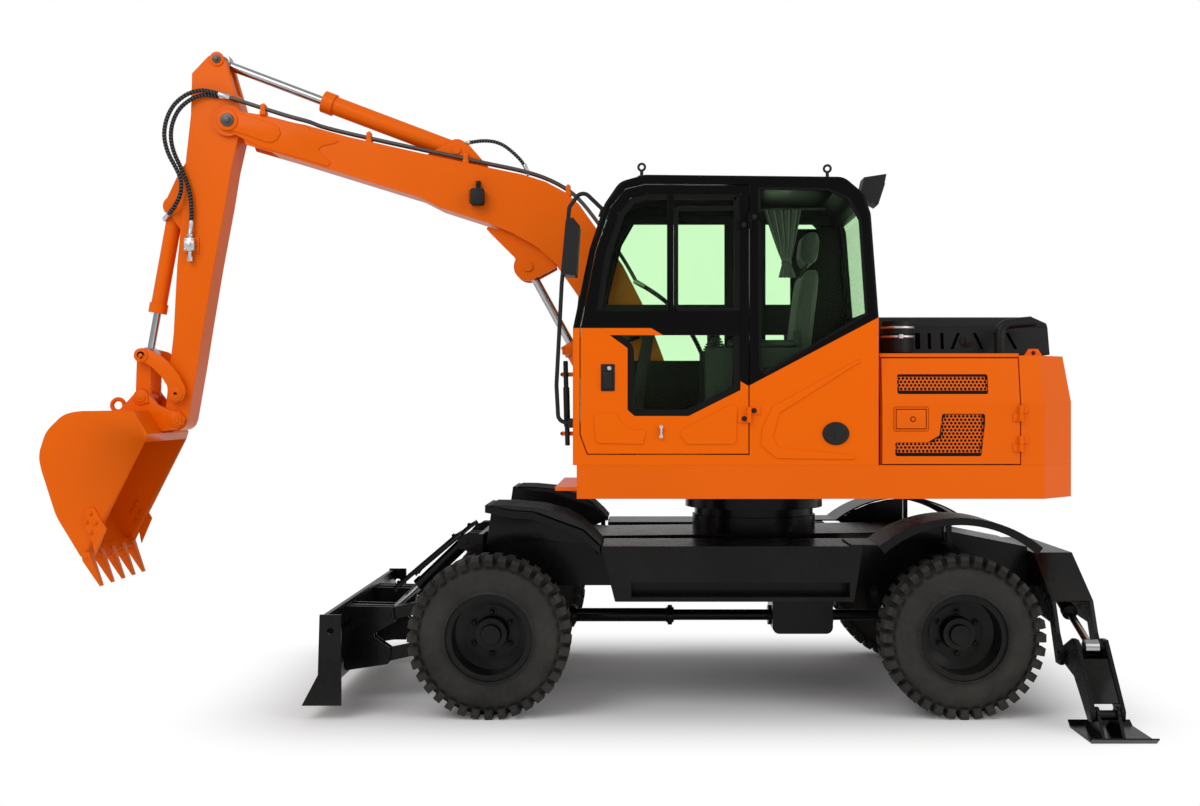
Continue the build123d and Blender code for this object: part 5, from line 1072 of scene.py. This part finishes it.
# ---- wheels ----
hubFittings = {
    "studs": 6, "studCircle": 0.111, "nut": 0.016, "nutHigh": 0.017, "stud": 0.009, "studHigh": 0.030,
    "disc": 0.797, "bolts": 8, "boltCircle": 0.074, "axle": 0.430,
}


def makeWheelStuds(name, settings):
    low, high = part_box("rim_" + name)
    x = (low.x + high.x) / 2 - swingX
    side = 1 if low.y > 0 else -1
    z, disc = settings["axle"], settings["disc"]
    bm = bmesh.new()
    for index in range(settings["studs"]):
        turn = 2 * pi * (index + 0.5) / settings["studs"]
        sx, sz = x + settings["studCircle"] * cos(turn), z + settings["studCircle"] * sin(turn)
        bar(bm, (sx, side * disc, sz), (sx, side * (disc + 0.004), sz), settings["nut"] * 1.5, 20)
        bar(bm, (sx, side * disc, sz), (sx, side * (disc + settings["nutHigh"]), sz), settings["nut"], 6, 0.0015)
        bar(bm, (sx, side * disc, sz), (sx, side * (disc + settings["studHigh"]), sz), settings["stud"], 12, 0.001)
    finishPiece("wheel_nuts_" + name, bm, "rimBlack", "wheel_" + name)
    bm = bmesh.new()
    face = settings["hubFace"]
    for index in range(settings["bolts"]):
        turn = 2 * pi * index / settings["bolts"]
        bolt(
            bm, (x + settings["boltCircle"] * cos(turn), side * face, z + settings["boltCircle"] * sin(turn)),
            (0, side, 0), 0.0075, 0.006,
        )
    finishPiece("hub_bolts_" + name, bm, "rimBlack", "wheel_" + name)


hubFittings["hubFace"] = 0.855
for wheel in ("front_left", "front_right", "rear_left", "rear_right"):
    makeWheelStuds(wheel, hubFittings)
print("wheel nuts made")

# ---- cab ----
cabSide = -1.000
doorWindow = (
    (-0.924, 2.085), (-0.744, 1.954), (-0.744, 1.629), (-0.707, 1.598), (-0.424, 1.598), (-0.152, 1.734),
    (-0.152, 2.766), (-0.645, 2.768), (-0.730, 2.742), (-0.792, 2.664), (-0.866, 2.455),
)
quarterWindow = (
    (-0.061, 2.800), (0.308, 2.795), (0.425, 2.744), (0.484, 2.628), (0.518, 2.130), (-0.021, 1.813), (-0.055, 1.842),
)
rightWindow = (
    (-0.880, 1.700), (-0.880, 2.280), (-0.800, 2.600), (-0.720, 2.740), (0.340, 2.740), (0.440, 2.640),
    (0.490, 2.160), (0.490, 1.700),
)
slidingPane = ((-0.502, 2.146), (-0.152, 2.146), (-0.152, 2.700), (-0.502, 2.700))
# dark blocks in X and Z along the inside of the right wall, painted shade that darkens the view through the glass,
# which leave its panes clear between them
cabShadeBlocks = {
    "y": (-0.136, -0.121),
    "blocks": (
        (-0.955, 2.066, 0.500, 2.245), (-0.930, 1.585, 0.500, 1.915), (-0.520, 2.240, -0.488, 2.745),
        (-0.182, 1.900, 0.060, 2.760), (0.205, 1.900, 0.520, 2.690), (-0.860, 2.715, 0.440, 2.760),
    ),
}


def makeWindowSeals():
    bm = bmesh.new()
    ring(bm, doorWindow, cabSide + 0.006, cabSide + 0.019, 0.034, corner=0.020)
    ring(bm, slidingPane, cabSide + 0.004, cabSide + 0.016, 0.024, corner=0.040)
    finishPiece("door_window_seal", bm, "sealRubberAndShade", "cab_door")
    bm = bmesh.new()
    ring(bm, quarterWindow, cabSide + 0.001, cabSide + 0.021, 0.014, corner=0.012)
    ring(bm, rightWindow, -0.081, -0.099, 0.014, corner=0.012)
    finishPiece("cab_window_seals", bm, "sealRubberAndShade", "upper_frame")


makeWindowSeals()


def makeCabShadeBlocks(settings):
    bm = bmesh.new()
    y0, y1 = settings["y"]
    for x0, z0, x1, z1 in settings["blocks"]:
        block(bm, (x0, y0, z0), (x1, y1, z1), 0.005)
        y0 -= 0.0004      # so that no two faces lie in one plane
    # near-black blocks: painted shade seen through the cab's glass
    finishPiece("cab_shade_blocks_right", bm, "sealRubberAndShade", "upper_frame")


makeCabShadeBlocks(cabShadeBlocks)

doorHandle = {"x": (-0.884, -0.811), "z": (1.728, 1.870), "out": 0.016}
doorLatch = {"x": -0.568, "z": (1.483, 1.549), "radius": 0.008}
doorHinge = {"bolts": ((-0.081, 1.626), (-0.133, 1.584)), "upper": 1.015, "face": -1.006}


def makeDoorFittings():
    (x0, x1), (z0, z1), out = doorHandle["x"], doorHandle["z"], doorHandle["out"]
    bm = bmesh.new()
    block(bm, (x0, cabSide - out * 0.4, z0), (x1, cabSide + 0.004, z1), 0.006, 3)
    block(bm, (x0 + 0.010, cabSide - out, z0 + 0.012), (x1 - 0.012, cabSide, z1 - 0.040), 0.006, 3)
    finishPiece("door_handle", bm, "blackTrim", "cab_door")
    bm = bmesh.new()
    middle = (x0 + x1) / 2 + 0.008
    bar(bm, (middle, cabSide, z1 - 0.022), (middle, cabSide - out * 0.75, z1 - 0.022), 0.011, 24, 0.001)
    x, (low, high), radius = doorLatch["x"], doorLatch["z"], doorLatch["radius"]
    for z in (low + 0.008, high - 0.008):
        bar(bm, (x, cabSide + 0.002, z), (x, cabSide - 0.016, z), radius * 1.3, 20, 0.001)
    bar(bm, (x, cabSide - 0.012, low + 0.008), (x, cabSide - 0.012, high - 0.008), radius * 0.8, 16, 0.001)
    finishPiece("door_lock", bm, "zincSteel", "cab_door")
    door, frame = bmesh.new(), bmesh.new()
    for rise in (0, doorHinge["upper"]):
        for (x, z), bm in zip(doorHinge["bolts"], (frame, door)):
            bolt(bm, (x, doorHinge["face"], z + rise), (0, -1, 0), 0.009, 0.007)
    finishPiece("door_hinge_bolts", door, "blackTrim", "cab_door")
    finishPiece("frame_hinge_bolts", frame, "blackTrim", "upper_frame")


makeDoorFittings()

ovalCap = {"x": 0.348, "z": 1.506, "half": (0.072, 0.062), "out": 0.013}


def makeOvalCap(settings):
    x, z, (wide, high), out = settings["x"], settings["z"], settings["half"], settings["out"]
    bm = bmesh.new()
    made = bmesh.ops.create_cone(bm, cap_ends=True, segments=48, radius1=1, radius2=0.9, depth=1)
    turn = Matrix.Rotation(pi / 2, 4, "X")
    size = Matrix.Diagonal((wide, out, high, 1))
    bmesh.ops.transform(bm, verts=made["verts"], matrix=Matrix.Translation(at(x, cabSide - out / 2, z)) @ size @ turn)
    bevelEdges(bm, {e for f in bm.faces if len(f.verts) > 4 for e in f.edges}, 0.004, 3)
    for f in bm.faces:
        f.tag = True
    block(bm, (x - 0.006, cabSide - out - 0.002, z - 0.034), (x + 0.006, cabSide - out + 0.002, z + 0.034), 0.001)
    for side in (-1, 1):
        bar(bm, (x + side * 0.044, cabSide - out + 0.002, z), (x + side * 0.044, cabSide - out - 0.003, z), 0.007, 16, 0.001)
    finishPiece("filler_cap", bm, "blackTrim", "upper_frame")


makeOvalCap(ovalCap)

eyeBolts = {"places": ((-0.670, -0.900), (0.317, -0.900), (-0.670, -0.180), (0.317, -0.180)), "roof": 2.862, "eye": 0.018, "wire": 0.0065}


def makeEyeBolts(settings):
    bm = bmesh.new()
    for x, y in settings["places"]:
        roof = settings["roof"] - (0.008 if x > 0 else 0)
        bar(bm, (x, y, roof), (x, y, roof + 0.012), 0.022, 28, 0.003)
        bar(bm, (x, y, roof + 0.010), (x, y, roof + 0.040), 0.009, 16, 0.001)
        torus(bm, at(x, y, roof + 0.040 + settings["eye"]), (0.25, 1, 0), settings["eye"], settings["wire"])
    finishPiece("roof_eye_bolts", bm, "blackTrim", "upper_frame")


makeEyeBolts(eyeBolts)

rearLamp = {"outline": ((0.486, 2.762), (0.578, 2.712), (0.618, 2.836), (0.627, 2.880), (0.508, 2.862)), "y": (-0.930, -0.800)}


def makeRearLamp(settings):
    bm = bmesh.new()
    plate(bm, settings["outline"], *settings["y"], edge=0.004)
    finishPiece("cab_work_lamp", bm, "blackTrim", "upper_frame")
    bm = bmesh.new()
    y0, y1 = settings["y"]
    plate(bm, ((0.580, 2.722), (0.586, 2.720), (0.622, 2.832), (0.616, 2.834)), y0 + 0.010, y1 - 0.010, edge=0.001)
    finishPiece("cab_work_lamp_lens", bm, "lampLens", "upper_frame")


makeRearLamp(rearLamp)

cabFront = {
    "face": -1.032, "y": -0.880,
    "lugs": (1.503, 1.818, 1.944),
    "strut": ((-1.064, 1.440), (-1.075, 1.890)),
}


def makeCabFront(settings):
    y, face = settings["y"], settings["face"]
    bm = bmesh.new()
    for z in settings["lugs"]:
        size = 0.014 if z < 1.9 else 0.026
        block(bm, (face - 0.060, y - size, z - size * 0.8), (face + 0.004, y + size, z + size * 0.8), 0.003)
    finishPiece("cab_front_lugs", bm, "orangePaint", "upper_frame")
    (x0, z0), (x1, z1) = settings["strut"]
    bm = bmesh.new()
    bar(bm, (x0, y - 0.020, z0), (x1, y - 0.020, z1), 0.013, 20, 0.004)
    bar(bm, (x0 - 0.002, y - 0.020, z0 + 0.10), (x1 + 0.004, y - 0.020, z1 - 0.14), 0.017, 20, 0.004)
    for z in settings["lugs"][:2]:
        bolt(bm, (face - 0.060, y, z), (-1, 0, 0), 0.009, 0.008)
    finishPiece("cab_front_strut", bm, "blackTrim", "upper_frame")


makeCabFront(cabFront)

wiper = {"pivot": (-1.036, -0.360, 2.030), "elbow": (-1.004, -0.560, 2.260), "blade": ((-1.012, -0.660, 2.130), (-0.962, -0.470, 2.400))}


def makeWiper(settings):
    bm = bmesh.new()
    x, y, z = settings["pivot"]
    bar(bm, (x + 0.012, y, z), (x - 0.018, y, z), 0.018, 20, 0.003)
    bar(bm, (x - 0.014, y, z), Vector(settings["elbow"]) - Vector((0.012, 0, 0)), 0.006, 10, 0.001)
    start, end = (Vector(point) for point in settings["blade"])
    bar(bm, start - Vector((0.006, 0, 0)), end - Vector((0.006, 0, 0)), 0.005, 8, 0.001)
    finishPiece("windscreen_wiper", bm, "blackTrim", "upper_frame")


makeWiper(wiper)

curtain = {
    "x": 0.075, "y": -0.925, "z": (2.330, 2.690), "wide": 0.200, "tie": 0.22, "neck": 0.20,
    "folds": 5, "deep": 0.013, "across": 90, "down": 30,
}


def makeCurtain(settings):
    bm = bmesh.new()
    (low, high), wide, tie = settings["z"], settings["wide"], settings["tie"]
    bmesh.ops.create_grid(bm, x_segments=settings["across"], y_segments=settings["down"], size=0.5)
    for vert in bm.verts:
        u, v = vert.co.x, vert.co.y + 0.5
        apart = (v - tie) / (1 - tie) if v > tie else (tie - v) / tie * 0.30
        draw = settings["neck"] + (1 - settings["neck"]) * apart ** 0.85     # drawn in at the tie
        swing = sin(2 * pi * settings["folds"] * u + 0.6 * v)
        x = settings["x"] + u * wide * draw + 0.028 * (1 - v)
        vert.co = at(x, settings["y"] + settings["deep"] * swing * (0.7 + 0.3 * draw), low + v * (high - low))
    cloth = finishPiece("cab_curtain", bm, "curtainCloth", "upper_frame", smooth=80)
    band = bmesh.new()
    knot, middle = low + tie * (high - low), settings["x"] + 0.028 * (1 - tie)
    block(band, (middle - 0.026, settings["y"] - 0.022, knot - 0.012), (middle + 0.026, settings["y"] + 0.022, knot + 0.012), 0.009, 3)
    tieBand = finishPiece("cab_curtain_tie", band, "curtainCloth", "upper_frame")
    rail = bmesh.new()
    bar(rail, (-0.040, settings["y"], high + 0.004), (0.300, settings["y"], high + 0.004), 0.006, 12, 0.001)
    finishPiece("cab_curtain_rail", rail, "blackTrim", "upper_frame")


makeCurtain(curtain)

# ---- seat and controls ----
seatMiddle = -0.540
seatPads = {
    "seat_cushion": {"low": (-0.300, seatMiddle - 0.235, 1.796), "high": (0.186, seatMiddle + 0.235, 1.892), "lean": 0.0, "fill": 0.7},
    "seat_back": {"low": (0.150, seatMiddle - 0.225, 1.905), "high": (0.240, seatMiddle + 0.225, 2.395), "lean": 0.060, "fill": 0.7},
    "seat_headrest": {"low": (0.205, seatMiddle - 0.130, 2.425), "high": (0.290, seatMiddle + 0.130, 2.610), "lean": 0.020, "fill": 0.7},
}
padSoft = {"voxel": 0.007, "pressure": 4.0, "frames": 20, "cap": 0.014}


def swell(obj, settings):
    remesh = obj.modifiers.new("remesh", "REMESH")
    remesh.mode = "VOXEL"
    remesh.voxel_size = settings["voxel"]
    freezeModifiers(obj)
    start = [v.co.copy() for v in obj.data.vertices]
    cloth = obj.modifiers.new("cloth", "CLOTH")
    cloth.settings.use_pressure = True
    cloth.settings.uniform_pressure_force = settings["pressure"]
    cloth.settings.effector_weights.gravity = 0
    scene = bpy.context.scene
    for frameNumber in range(1, settings["frames"] + 1):
        scene.frame_set(frameNumber)
    freezeModifiers(obj)
    scene.frame_set(1)
    for vert, place in zip(obj.data.vertices, start):
        move = vert.co - place
        if move.length > settings["cap"]:
            vert.co = place + move.normalized() * settings["cap"]


def freezeModifiers(obj):
    graph = bpy.context.evaluated_depsgraph_get()
    mesh = bpy.data.meshes.new_from_object(obj.evaluated_get(graph))
    obj.modifiers.clear()
    obj.data = mesh


def makePad(name, settings):
    low, high = Vector(settings["low"]), Vector(settings["high"])
    bm = bmesh.new()
    size = high - low
    thin = min(range(3), key=lambda axis: size[axis])
    block(bm, low, high)
    bmesh.ops.subdivide_edges(bm, edges=bm.edges[:], cuts=7, use_grid_fill=True)
    middle = (low + high) / 2 + Vector((swingX, 0, 0))
    for vert in bm.verts:
        away = vert.co - middle
        share = [min(1.0, abs(away[axis]) / (size[axis] / 2)) for axis in range(3)]
        across = [share[axis] for axis in range(3) if axis != thin]
        crown = (1 - across[0] ** 4) * (1 - across[1] ** 4)
        vert.co[thin] = middle[thin] + away[thin] * (0.62 + 0.30 * crown)
        for axis in range(3):
            if axis != thin:
                vert.co[axis] -= away[axis] * 0.06 * (1 - across[0] * across[1])
    if settings["lean"]:
        for vert in bm.verts:
            vert.co.x += settings["lean"] * (vert.co.z - low.z) / size.z
    bevelEdges(bm, [e for e in bm.edges if e.calc_face_angle(0) > radians(50)], 0.010, 3)
    pad = finishPiece(name, bm, "seatCloth", "upper_frame", smooth=80)
    swell(pad, padSoft)
    for polygon in pad.data.polygons:
        polygon.use_smooth = True
    return pad


cushion = makePad("seat_cushion", seatPads["seat_cushion"])
makePad("seat_back", seatPads["seat_back"])
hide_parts("operator_seat")
makePad("seat_headrest", seatPads["seat_headrest"])


def makeSeatFrame():
    bm = bmesh.new()
    for side in (-1, 1):
        y = seatMiddle + side * 0.060
        bar(bm, (0.225, y, 2.370), (0.250, y, 2.450), 0.007, 12)
        block(bm, (-0.240, seatMiddle + side * 0.190 - 0.02, 1.788), (0.160, seatMiddle + side * 0.190 + 0.02, 1.806), 0.004)
        block(bm, (0.150, seatMiddle + side * 0.238 - 0.006, 1.800), (0.196, seatMiddle + side * 0.238 + 0.006, 2.060), 0.004)
    finishPiece("seat_frame", bm, "blackTrim", "upper_frame")


makeSeatFrame()


def makeControls():
    bm = bmesh.new()
    torus(bm, at(-0.640, seatMiddle, 2.062), (-0.38, 0, 1), 0.165, 0.013, 48)
    bar(bm, (-0.632, seatMiddle, 2.030), (-0.645, seatMiddle, 2.070), 0.045, 28, 0.006)
    for turn in (0.5, 2.6, 4.71):
        out = Vector((cos(turn) * 0.93, sin(turn), cos(turn) * 0.36)) * 0.160
        bar(bm, (-0.640, seatMiddle, 2.060), Vector((-0.640, seatMiddle, 2.062)) + out, 0.009, 12)
    finishPiece("steering_wheel", bm, "blackTrim", "upper_frame")
    bm = bmesh.new()
    for side in (-1, 1):
        y = seatMiddle + side * 0.325
        for step in range(4):
            bar(bm, (-0.270, y, 1.960 + step * 0.014), (-0.270, y, 1.970 + step * 0.014), 0.048 - step * 0.007, 24, 0.004)
        bar(bm, (-0.270, y, 2.060), (-0.275, y, 2.150), 0.023, 20, 0.008)
        bar(bm, (-0.275, y, 2.140), (-0.282, y, 2.165), 0.028, 20, 0.008)
    finishPiece("control_levers", bm, "blackTrim", "upper_frame")
    bm = bmesh.new()
    for side in (-1, 1):
        y = seatMiddle + side * 0.325
        block(bm, (-0.210, y - 0.045, 1.962), (0.160, y + 0.045, 2.002), 0.014, 3)
    for side in (-1, 1):
        y = seatMiddle + side * 0.11
        block(bm, (-0.860, y - 0.045, 1.395), (-0.760, y + 0.045, 1.408), 0.004)
        bar(bm, (-0.800, y, 1.400), (-0.760, y, 1.780), 0.007, 12, 0.002)
    finishPiece("armrests_and_pedals", bm, "insideGrey", "upper_frame")


makeControls()
print("cab pieces made")

# ---- engine side doors ----
doorSkin = {"side": 1.000, "crease": 1.671, "top": 1.928, "lean": 0.045}
grilles = {
    "upper": ((0.673, 1.713), (1.150, 1.713), (1.150, 1.817), (0.673, 1.817)),
    "lower": (
        (0.906, 1.609), (1.131, 1.609), (1.131, 1.560), (1.112, 1.387), (0.660, 1.387), (0.660, 1.460),
        (0.830, 1.460), (0.892, 1.496),
    ),
    "pitch": 0.021, "hole": 0.0155, "thick": 0.0015, "depth": 0.0030, "backDepth": 0.0047, "border": 0.009,
}


def insideOutline(x, z, outline, margin):
    # even-odd test, and then the distance from each edge
    within = False
    for (x0, z0), (x1, z1) in zip(outline, outline[1:] + outline[:1]):
        if (z0 > z) != (z1 > z) and x < (x1 - x0) * (z - z0) / (z1 - z0) + x0:
            within = not within
        edge, spot = Vector((x1 - x0, z1 - z0)), Vector((x - x0, z - z0))
        nearest = edge * max(0.0, min(1.0, spot.dot(edge) / edge.length_squared))
        if (spot - nearest).length < margin:
            return False
    return within


def skinPlace(side, depth, z):
    lean = max(0.0, z - doorSkin["crease"]) / (doorSkin["top"] - doorSkin["crease"]) * doorSkin["lean"]
    return side * (doorSkin["side"] - depth - lean)


def makePerforatedPlate(name, side, body, settings):
    bm = bmesh.new()
    pitch, half = settings["pitch"], settings["pitch"] / 2
    rise = pitch * 0.866
    for part in ("upper", "lower"):
        outline = settings[part]
        xs, zs = [x for x, z in outline], [z for x, z in outline]
        rows = int((max(zs) - min(zs)) / rise)
        columns = int((max(xs) - min(xs)) / pitch)
        for row in range(rows + 1):
            for column in range(columns + 1):
                x = min(xs) + half + column * pitch + (half if row % 2 else 0)
                z = min(zs) + rise / 2 + row * rise
                if insideOutline(x, z, outline, rise / 2):
                    addCell(bm, x, z, half, rise / 2, settings["hole"] / 2)
    bmesh.ops.remove_doubles(bm, verts=bm.verts, dist=1e-5)
    grown = bmesh.ops.extrude_face_region(bm, geom=bm.faces[:])
    moved = {v for v in grown["geom"] if isinstance(v, bmesh.types.BMVert)}
    for vert in bm.verts:
        depth = settings["depth"] + (settings["thick"] if vert not in moved else 0)
        vert.co.y = skinPlace(side, depth, vert.co.z)
    finishPiece(name, bm, "orangePaint", body)
    # a near-black sheet behind the holes: painted shade of the engine bay seen through them
    bm = bmesh.new()
    for part in ("upper", "lower"):
        face = bm.faces.new([bm.verts.new(at(x, 0, z)) for x, z in settings[part]])
        border = bmesh.ops.inset_region(bm, faces=[face], thickness=settings["border"], use_boundary=True)["faces"]
        bmesh.ops.delete(bm, geom=border, context="FACES")
    grown = bmesh.ops.extrude_face_region(bm, geom=bm.faces[:])
    moved = {v for v in grown["geom"] if isinstance(v, bmesh.types.BMVert)}
    for vert in bm.verts:
        depth = settings["backDepth"] + (0.0006 if vert not in moved else 0)
        vert.co.y = skinPlace(side, depth, vert.co.z)
    finishPiece(name + "_shade_backing", bm, "sealRubberAndShade", body)


def addCell(bm, x, z, half, rise, radius):
    # one cell of the plate, its hole eight-sided
    outer = [(-half, -rise), (0, -rise), (half, -rise), (half, 0), (half, rise), (0, rise), (-half, rise), (-half, 0)]
    turns = [5 * pi / 4, 3 * pi / 2, 7 * pi / 4, 0, pi / 4, pi / 2, 3 * pi / 4, pi]
    rim = [bm.verts.new(at(x + dx, 0, z + dz)) for dx, dz in outer]
    hole = [bm.verts.new(at(x + radius * cos(turn), 0, z + radius * sin(turn))) for turn in turns]
    for index in range(8):
        after = (index + 1) % 8
        bm.faces.new((rim[index], rim[after], hole[after], hole[index]))


doorLatchPaddle = {"x": (0.666, 0.820), "z": (1.532, 1.631), "box": ((0.654, 1.520), (0.832, 1.643)), "key": 0.752}


def makeDoorLatch(name, side, body, settings):
    bm = bmesh.new()
    face = skinPlace(side, 0, 1.6)
    (bx0, bz0), (bx1, bz1) = settings["box"]
    outline = ((bx0, bz0), (bx1, bz0), (bx1, bz1), (bx0, bz1))
    ring(bm, outline, face - side * 0.003, face + side * 0.003, 0.008, corner=0.010)
    (x0, x1), (z0, z1) = settings["x"], settings["z"]
    low, high = sorted((face - side * 0.004, face + side * 0.004))
    block(bm, (x0, low, z0), (x1, high, z1), 0.003, 3)
    bar(bm, (settings["key"], face, 1.581), (settings["key"], face + side * 0.007, 1.581), 0.010, 24, 0.001)
    finishPiece(name, bm, "orangePaint", body)
    # a near-black block behind the paddle and key: painted shade in the recess gaps
    bm = bmesh.new()
    low, high = sorted((face - side * 0.005, face - side * 0.0042))
    block(bm, (bx0 + 0.008, low, bz0 + 0.008), (bx1 - 0.008, high, bz1 - 0.008))
    bar(bm, (settings["key"], face, 1.581), (settings["key"], face + side * 0.005, 1.581), 0.015, 24, 0.001)
    finishPiece(name + "_recess_shade", bm, "sealRubberAndShade", body)


for side, hand in ((-1, "left"), (1, "right")):
    makePerforatedPlate("grille_plates_" + hand, side, "side_door_" + hand, grilles)
    makeDoorLatch("side_latch_" + hand, side, "side_door_" + hand, doorLatchPaddle)

hoodLatch = {"x": 1.140, "z": 2.010, "radius": 0.036, "half": 0.560}


def makeHoodLatch(settings):
    bm = bmesh.new()
    for side in (-1, 1):
        face = side * (settings["half"] - 0.018)
        out = side * 0.014
        bar(bm, (settings["x"], face, settings["z"]), (settings["x"], face + out, settings["z"]), settings["radius"], 32, 0.004)
        low, high = sorted((face + out * 0.8, face + out * 1.7))
        block(bm, (settings["x"] - 0.008, low, settings["z"] - 0.026), (settings["x"] + 0.008, high, settings["z"] + 0.026), 0.003)
    finishPiece("hood_latches", bm, "blackTrim", "engine_hood")


makeHoodLatch(hoodLatch)

hoodLining = {"x": (0.700, 1.520), "z": (1.950, 2.098), "y": 0.500, "thick": 0.004}


def makeHoodLining(settings):
    bm = bmesh.new()
    (x0, x1), (z0, z1) = settings["x"], settings["z"]
    for side in (-1, 1):
        y0, y1 = sorted((side * settings["y"], side * (settings["y"] - settings["thick"])))
        block(bm, (x0, y0, z0), (x1, y1, z1), 0.001)
    finishPiece("hood_shade_backing", bm, "sealRubberAndShade", "engine_hood")


makeHoodLining(hoodLining)

cleanerCap = {"place": (0.731, -0.690), "low": 2.020, "radius": 0.0885}


def makeCleanerBands(settings):
    bm = bmesh.new()
    x, y = settings["place"]
    for rise in (0.0, 0.05):
        bar(bm, (x, y, settings["low"] + rise), (x, y, settings["low"] + rise + 0.012), settings["radius"] + 0.003, 48, 0.002)
    block(bm, (x - 0.012, y - settings["radius"] - 0.014, settings["low"] - 0.006), (x + 0.012, y - settings["radius"] + 0.004, settings["low"] + 0.018), 0.003)
    finishPiece("cleaner_bands", bm, "zincSteel", "upper_frame")


makeCleanerBands(cleanerCap)
print("engine bay pieces made")

# ---- blade and undercarriage ----
bladeGuards = {
    "rams": (-0.350, 0.350), "half": 0.056, "lip": 0.022,
    "line": ((-2.080, 0.612), (-2.060, 0.640), (-1.745, 0.908), (-1.706, 0.934)),
    "thick": 0.005,
}


def makeBladeGuards(settings):
    bm = bmesh.new()
    line, thick, half = settings["line"], settings["thick"], settings["half"]
    for y in settings["rams"]:
        outline = list(line) + [(x + 0.004, z - thick) for x, z in reversed(line)]
        plate(bm, outline, y - half, y + half, edge=0.001)
        for side in (-1, 1):
            edge = y + side * half
            lips = list(line) + [(x + 0.014, z - settings["lip"]) for x, z in reversed(line)]
            plate(bm, lips, edge, edge - side * thick, edge=0.001)
        for x, z in (line[1], line[2]):
            bolt(bm, (x, y, z - 0.001), (-0.65, 0, 0.76), 0.010, 0.008)
    finishPiece("blade_ram_guards", bm, "chassisBlack", "blade_barrels")


makeBladeGuards(bladeGuards)

stepTreads = {"x": (-0.725, 0.430), "z": 0.642, "wide": 0.110, "rows": 3}
print("undercarriage pieces made")

# ---- stage ----
studio = {
    "floor": 60.0,
    "floorColor": (0.86, 0.86, 0.86, 1),
    # the floor keeps its lit grey near this footprint and fades to white away from it: a painted soft shadow round the
    # machine, with the machine's real cast shadows showing inside it
    "footprint": ((swingX - 0.45, 1.75), (0.0, 0.75)),     # middle and half length each way
    "fadeFrom": 0.0,
    "fadeTo": 1.05,
    "worldLight": 0.55,
    "key": {"place": (-4.5, -7.0, 7.5), "size": 6.0, "power": 330.0},
    "fill": {"place": (6.5, -5.0, 4.0), "size": 5.0, "power": 130.0},
}


def makeStage(settings):
    half = settings["floor"] / 2
    bm = bmesh.new()
    bmesh.ops.create_grid(bm, x_segments=1, y_segments=1, size=half)
    mesh = bpy.data.meshes.new("floor")
    bm.to_mesh(mesh)
    bm.free()
    floor = bpy.data.objects.new("floor", mesh)
    bpy.context.scene.collection.objects.link(floor)
    material, tree, shader = newMaterial("floorWhite")
    shader.inputs["Base Color"].default_value = settings["floorColor"]
    shader.inputs["Roughness"].default_value = 0.9
    shader.inputs["Specular IOR Level"].default_value = 0.0
    split = tree.nodes.new("ShaderNodeSeparateXYZ")
    tree.links.new(objectCoordinates(tree), split.inputs[0])
    # mask of the painted soft shadow: real floor shading near the footprint, white beyond
    beyond = []
    for axis, (middle, reach) in enumerate(settings["footprint"]):
        away = mathNode(tree, "ABSOLUTE", mathNode(tree, "SUBTRACT", split.outputs[axis], middle))
        over = mathNode(tree, "MAXIMUM", mathNode(tree, "SUBTRACT", away, reach), 0.0)
        beyond.append(mathNode(tree, "MULTIPLY", over, over))
    distance = mathNode(tree, "SQRT", mathNode(tree, "ADD", *beyond))
    far = ramp(tree, distance, settings["fadeFrom"], settings["fadeTo"])
    far.node.interpolation_type = "SMOOTHSTEP"
    path = tree.nodes.new("ShaderNodeLightPath")
    seen = mathNode(tree, "ADD", path.outputs["Is Camera Ray"], path.outputs["Is Transmission Ray"], True)
    seen = mathNode(tree, "ADD", seen, path.outputs["Is Glossy Ray"], True)
    glow = tree.nodes.new("ShaderNodeEmission")
    mix = tree.nodes.new("ShaderNodeMixShader")
    tree.links.new(mathNode(tree, "MULTIPLY", far, seen), mix.inputs[0])
    tree.links.new(shader.outputs[0], mix.inputs[1])
    tree.links.new(glow.outputs[0], mix.inputs[2])
    tree.links.new(mix.outputs[0], tree.nodes["Material Output"].inputs["Surface"])
    mesh.materials.append(material)
    world = bpy.data.worlds.new("studioWorld")
    bpy.context.scene.world = world
    world.use_nodes = True
    tree = world.node_tree
    background = tree.nodes["Background"]
    background.inputs["Color"].default_value = (1, 1, 1, 1)
    path = tree.nodes.new("ShaderNodeLightPath")
    seen = mathNode(tree, "ADD", path.outputs["Is Camera Ray"], path.outputs["Is Transmission Ray"], True)
    level = mathNode(tree, "MULTIPLY", seen, 1 - settings["worldLight"])
    tree.links.new(mathNode(tree, "ADD", level, settings["worldLight"]), background.inputs["Strength"])
    for name in ("key", "fill"):
        lamp = settings[name]
        data = bpy.data.lights.new(name, "AREA")
        data.size = lamp["size"]
        data.energy = lamp["power"]
        obj = bpy.data.objects.new(name, data)
        obj.location = lamp["place"]
        obj.rotation_euler = (Vector((0, 0, 1.3)) - obj.location).to_track_quat("-Z", "Y").to_euler()
        bpy.context.scene.collection.objects.link(obj)
    bpy.context.scene.view_settings.view_transform = "Standard"


makeStage(studio)
print("stage made")
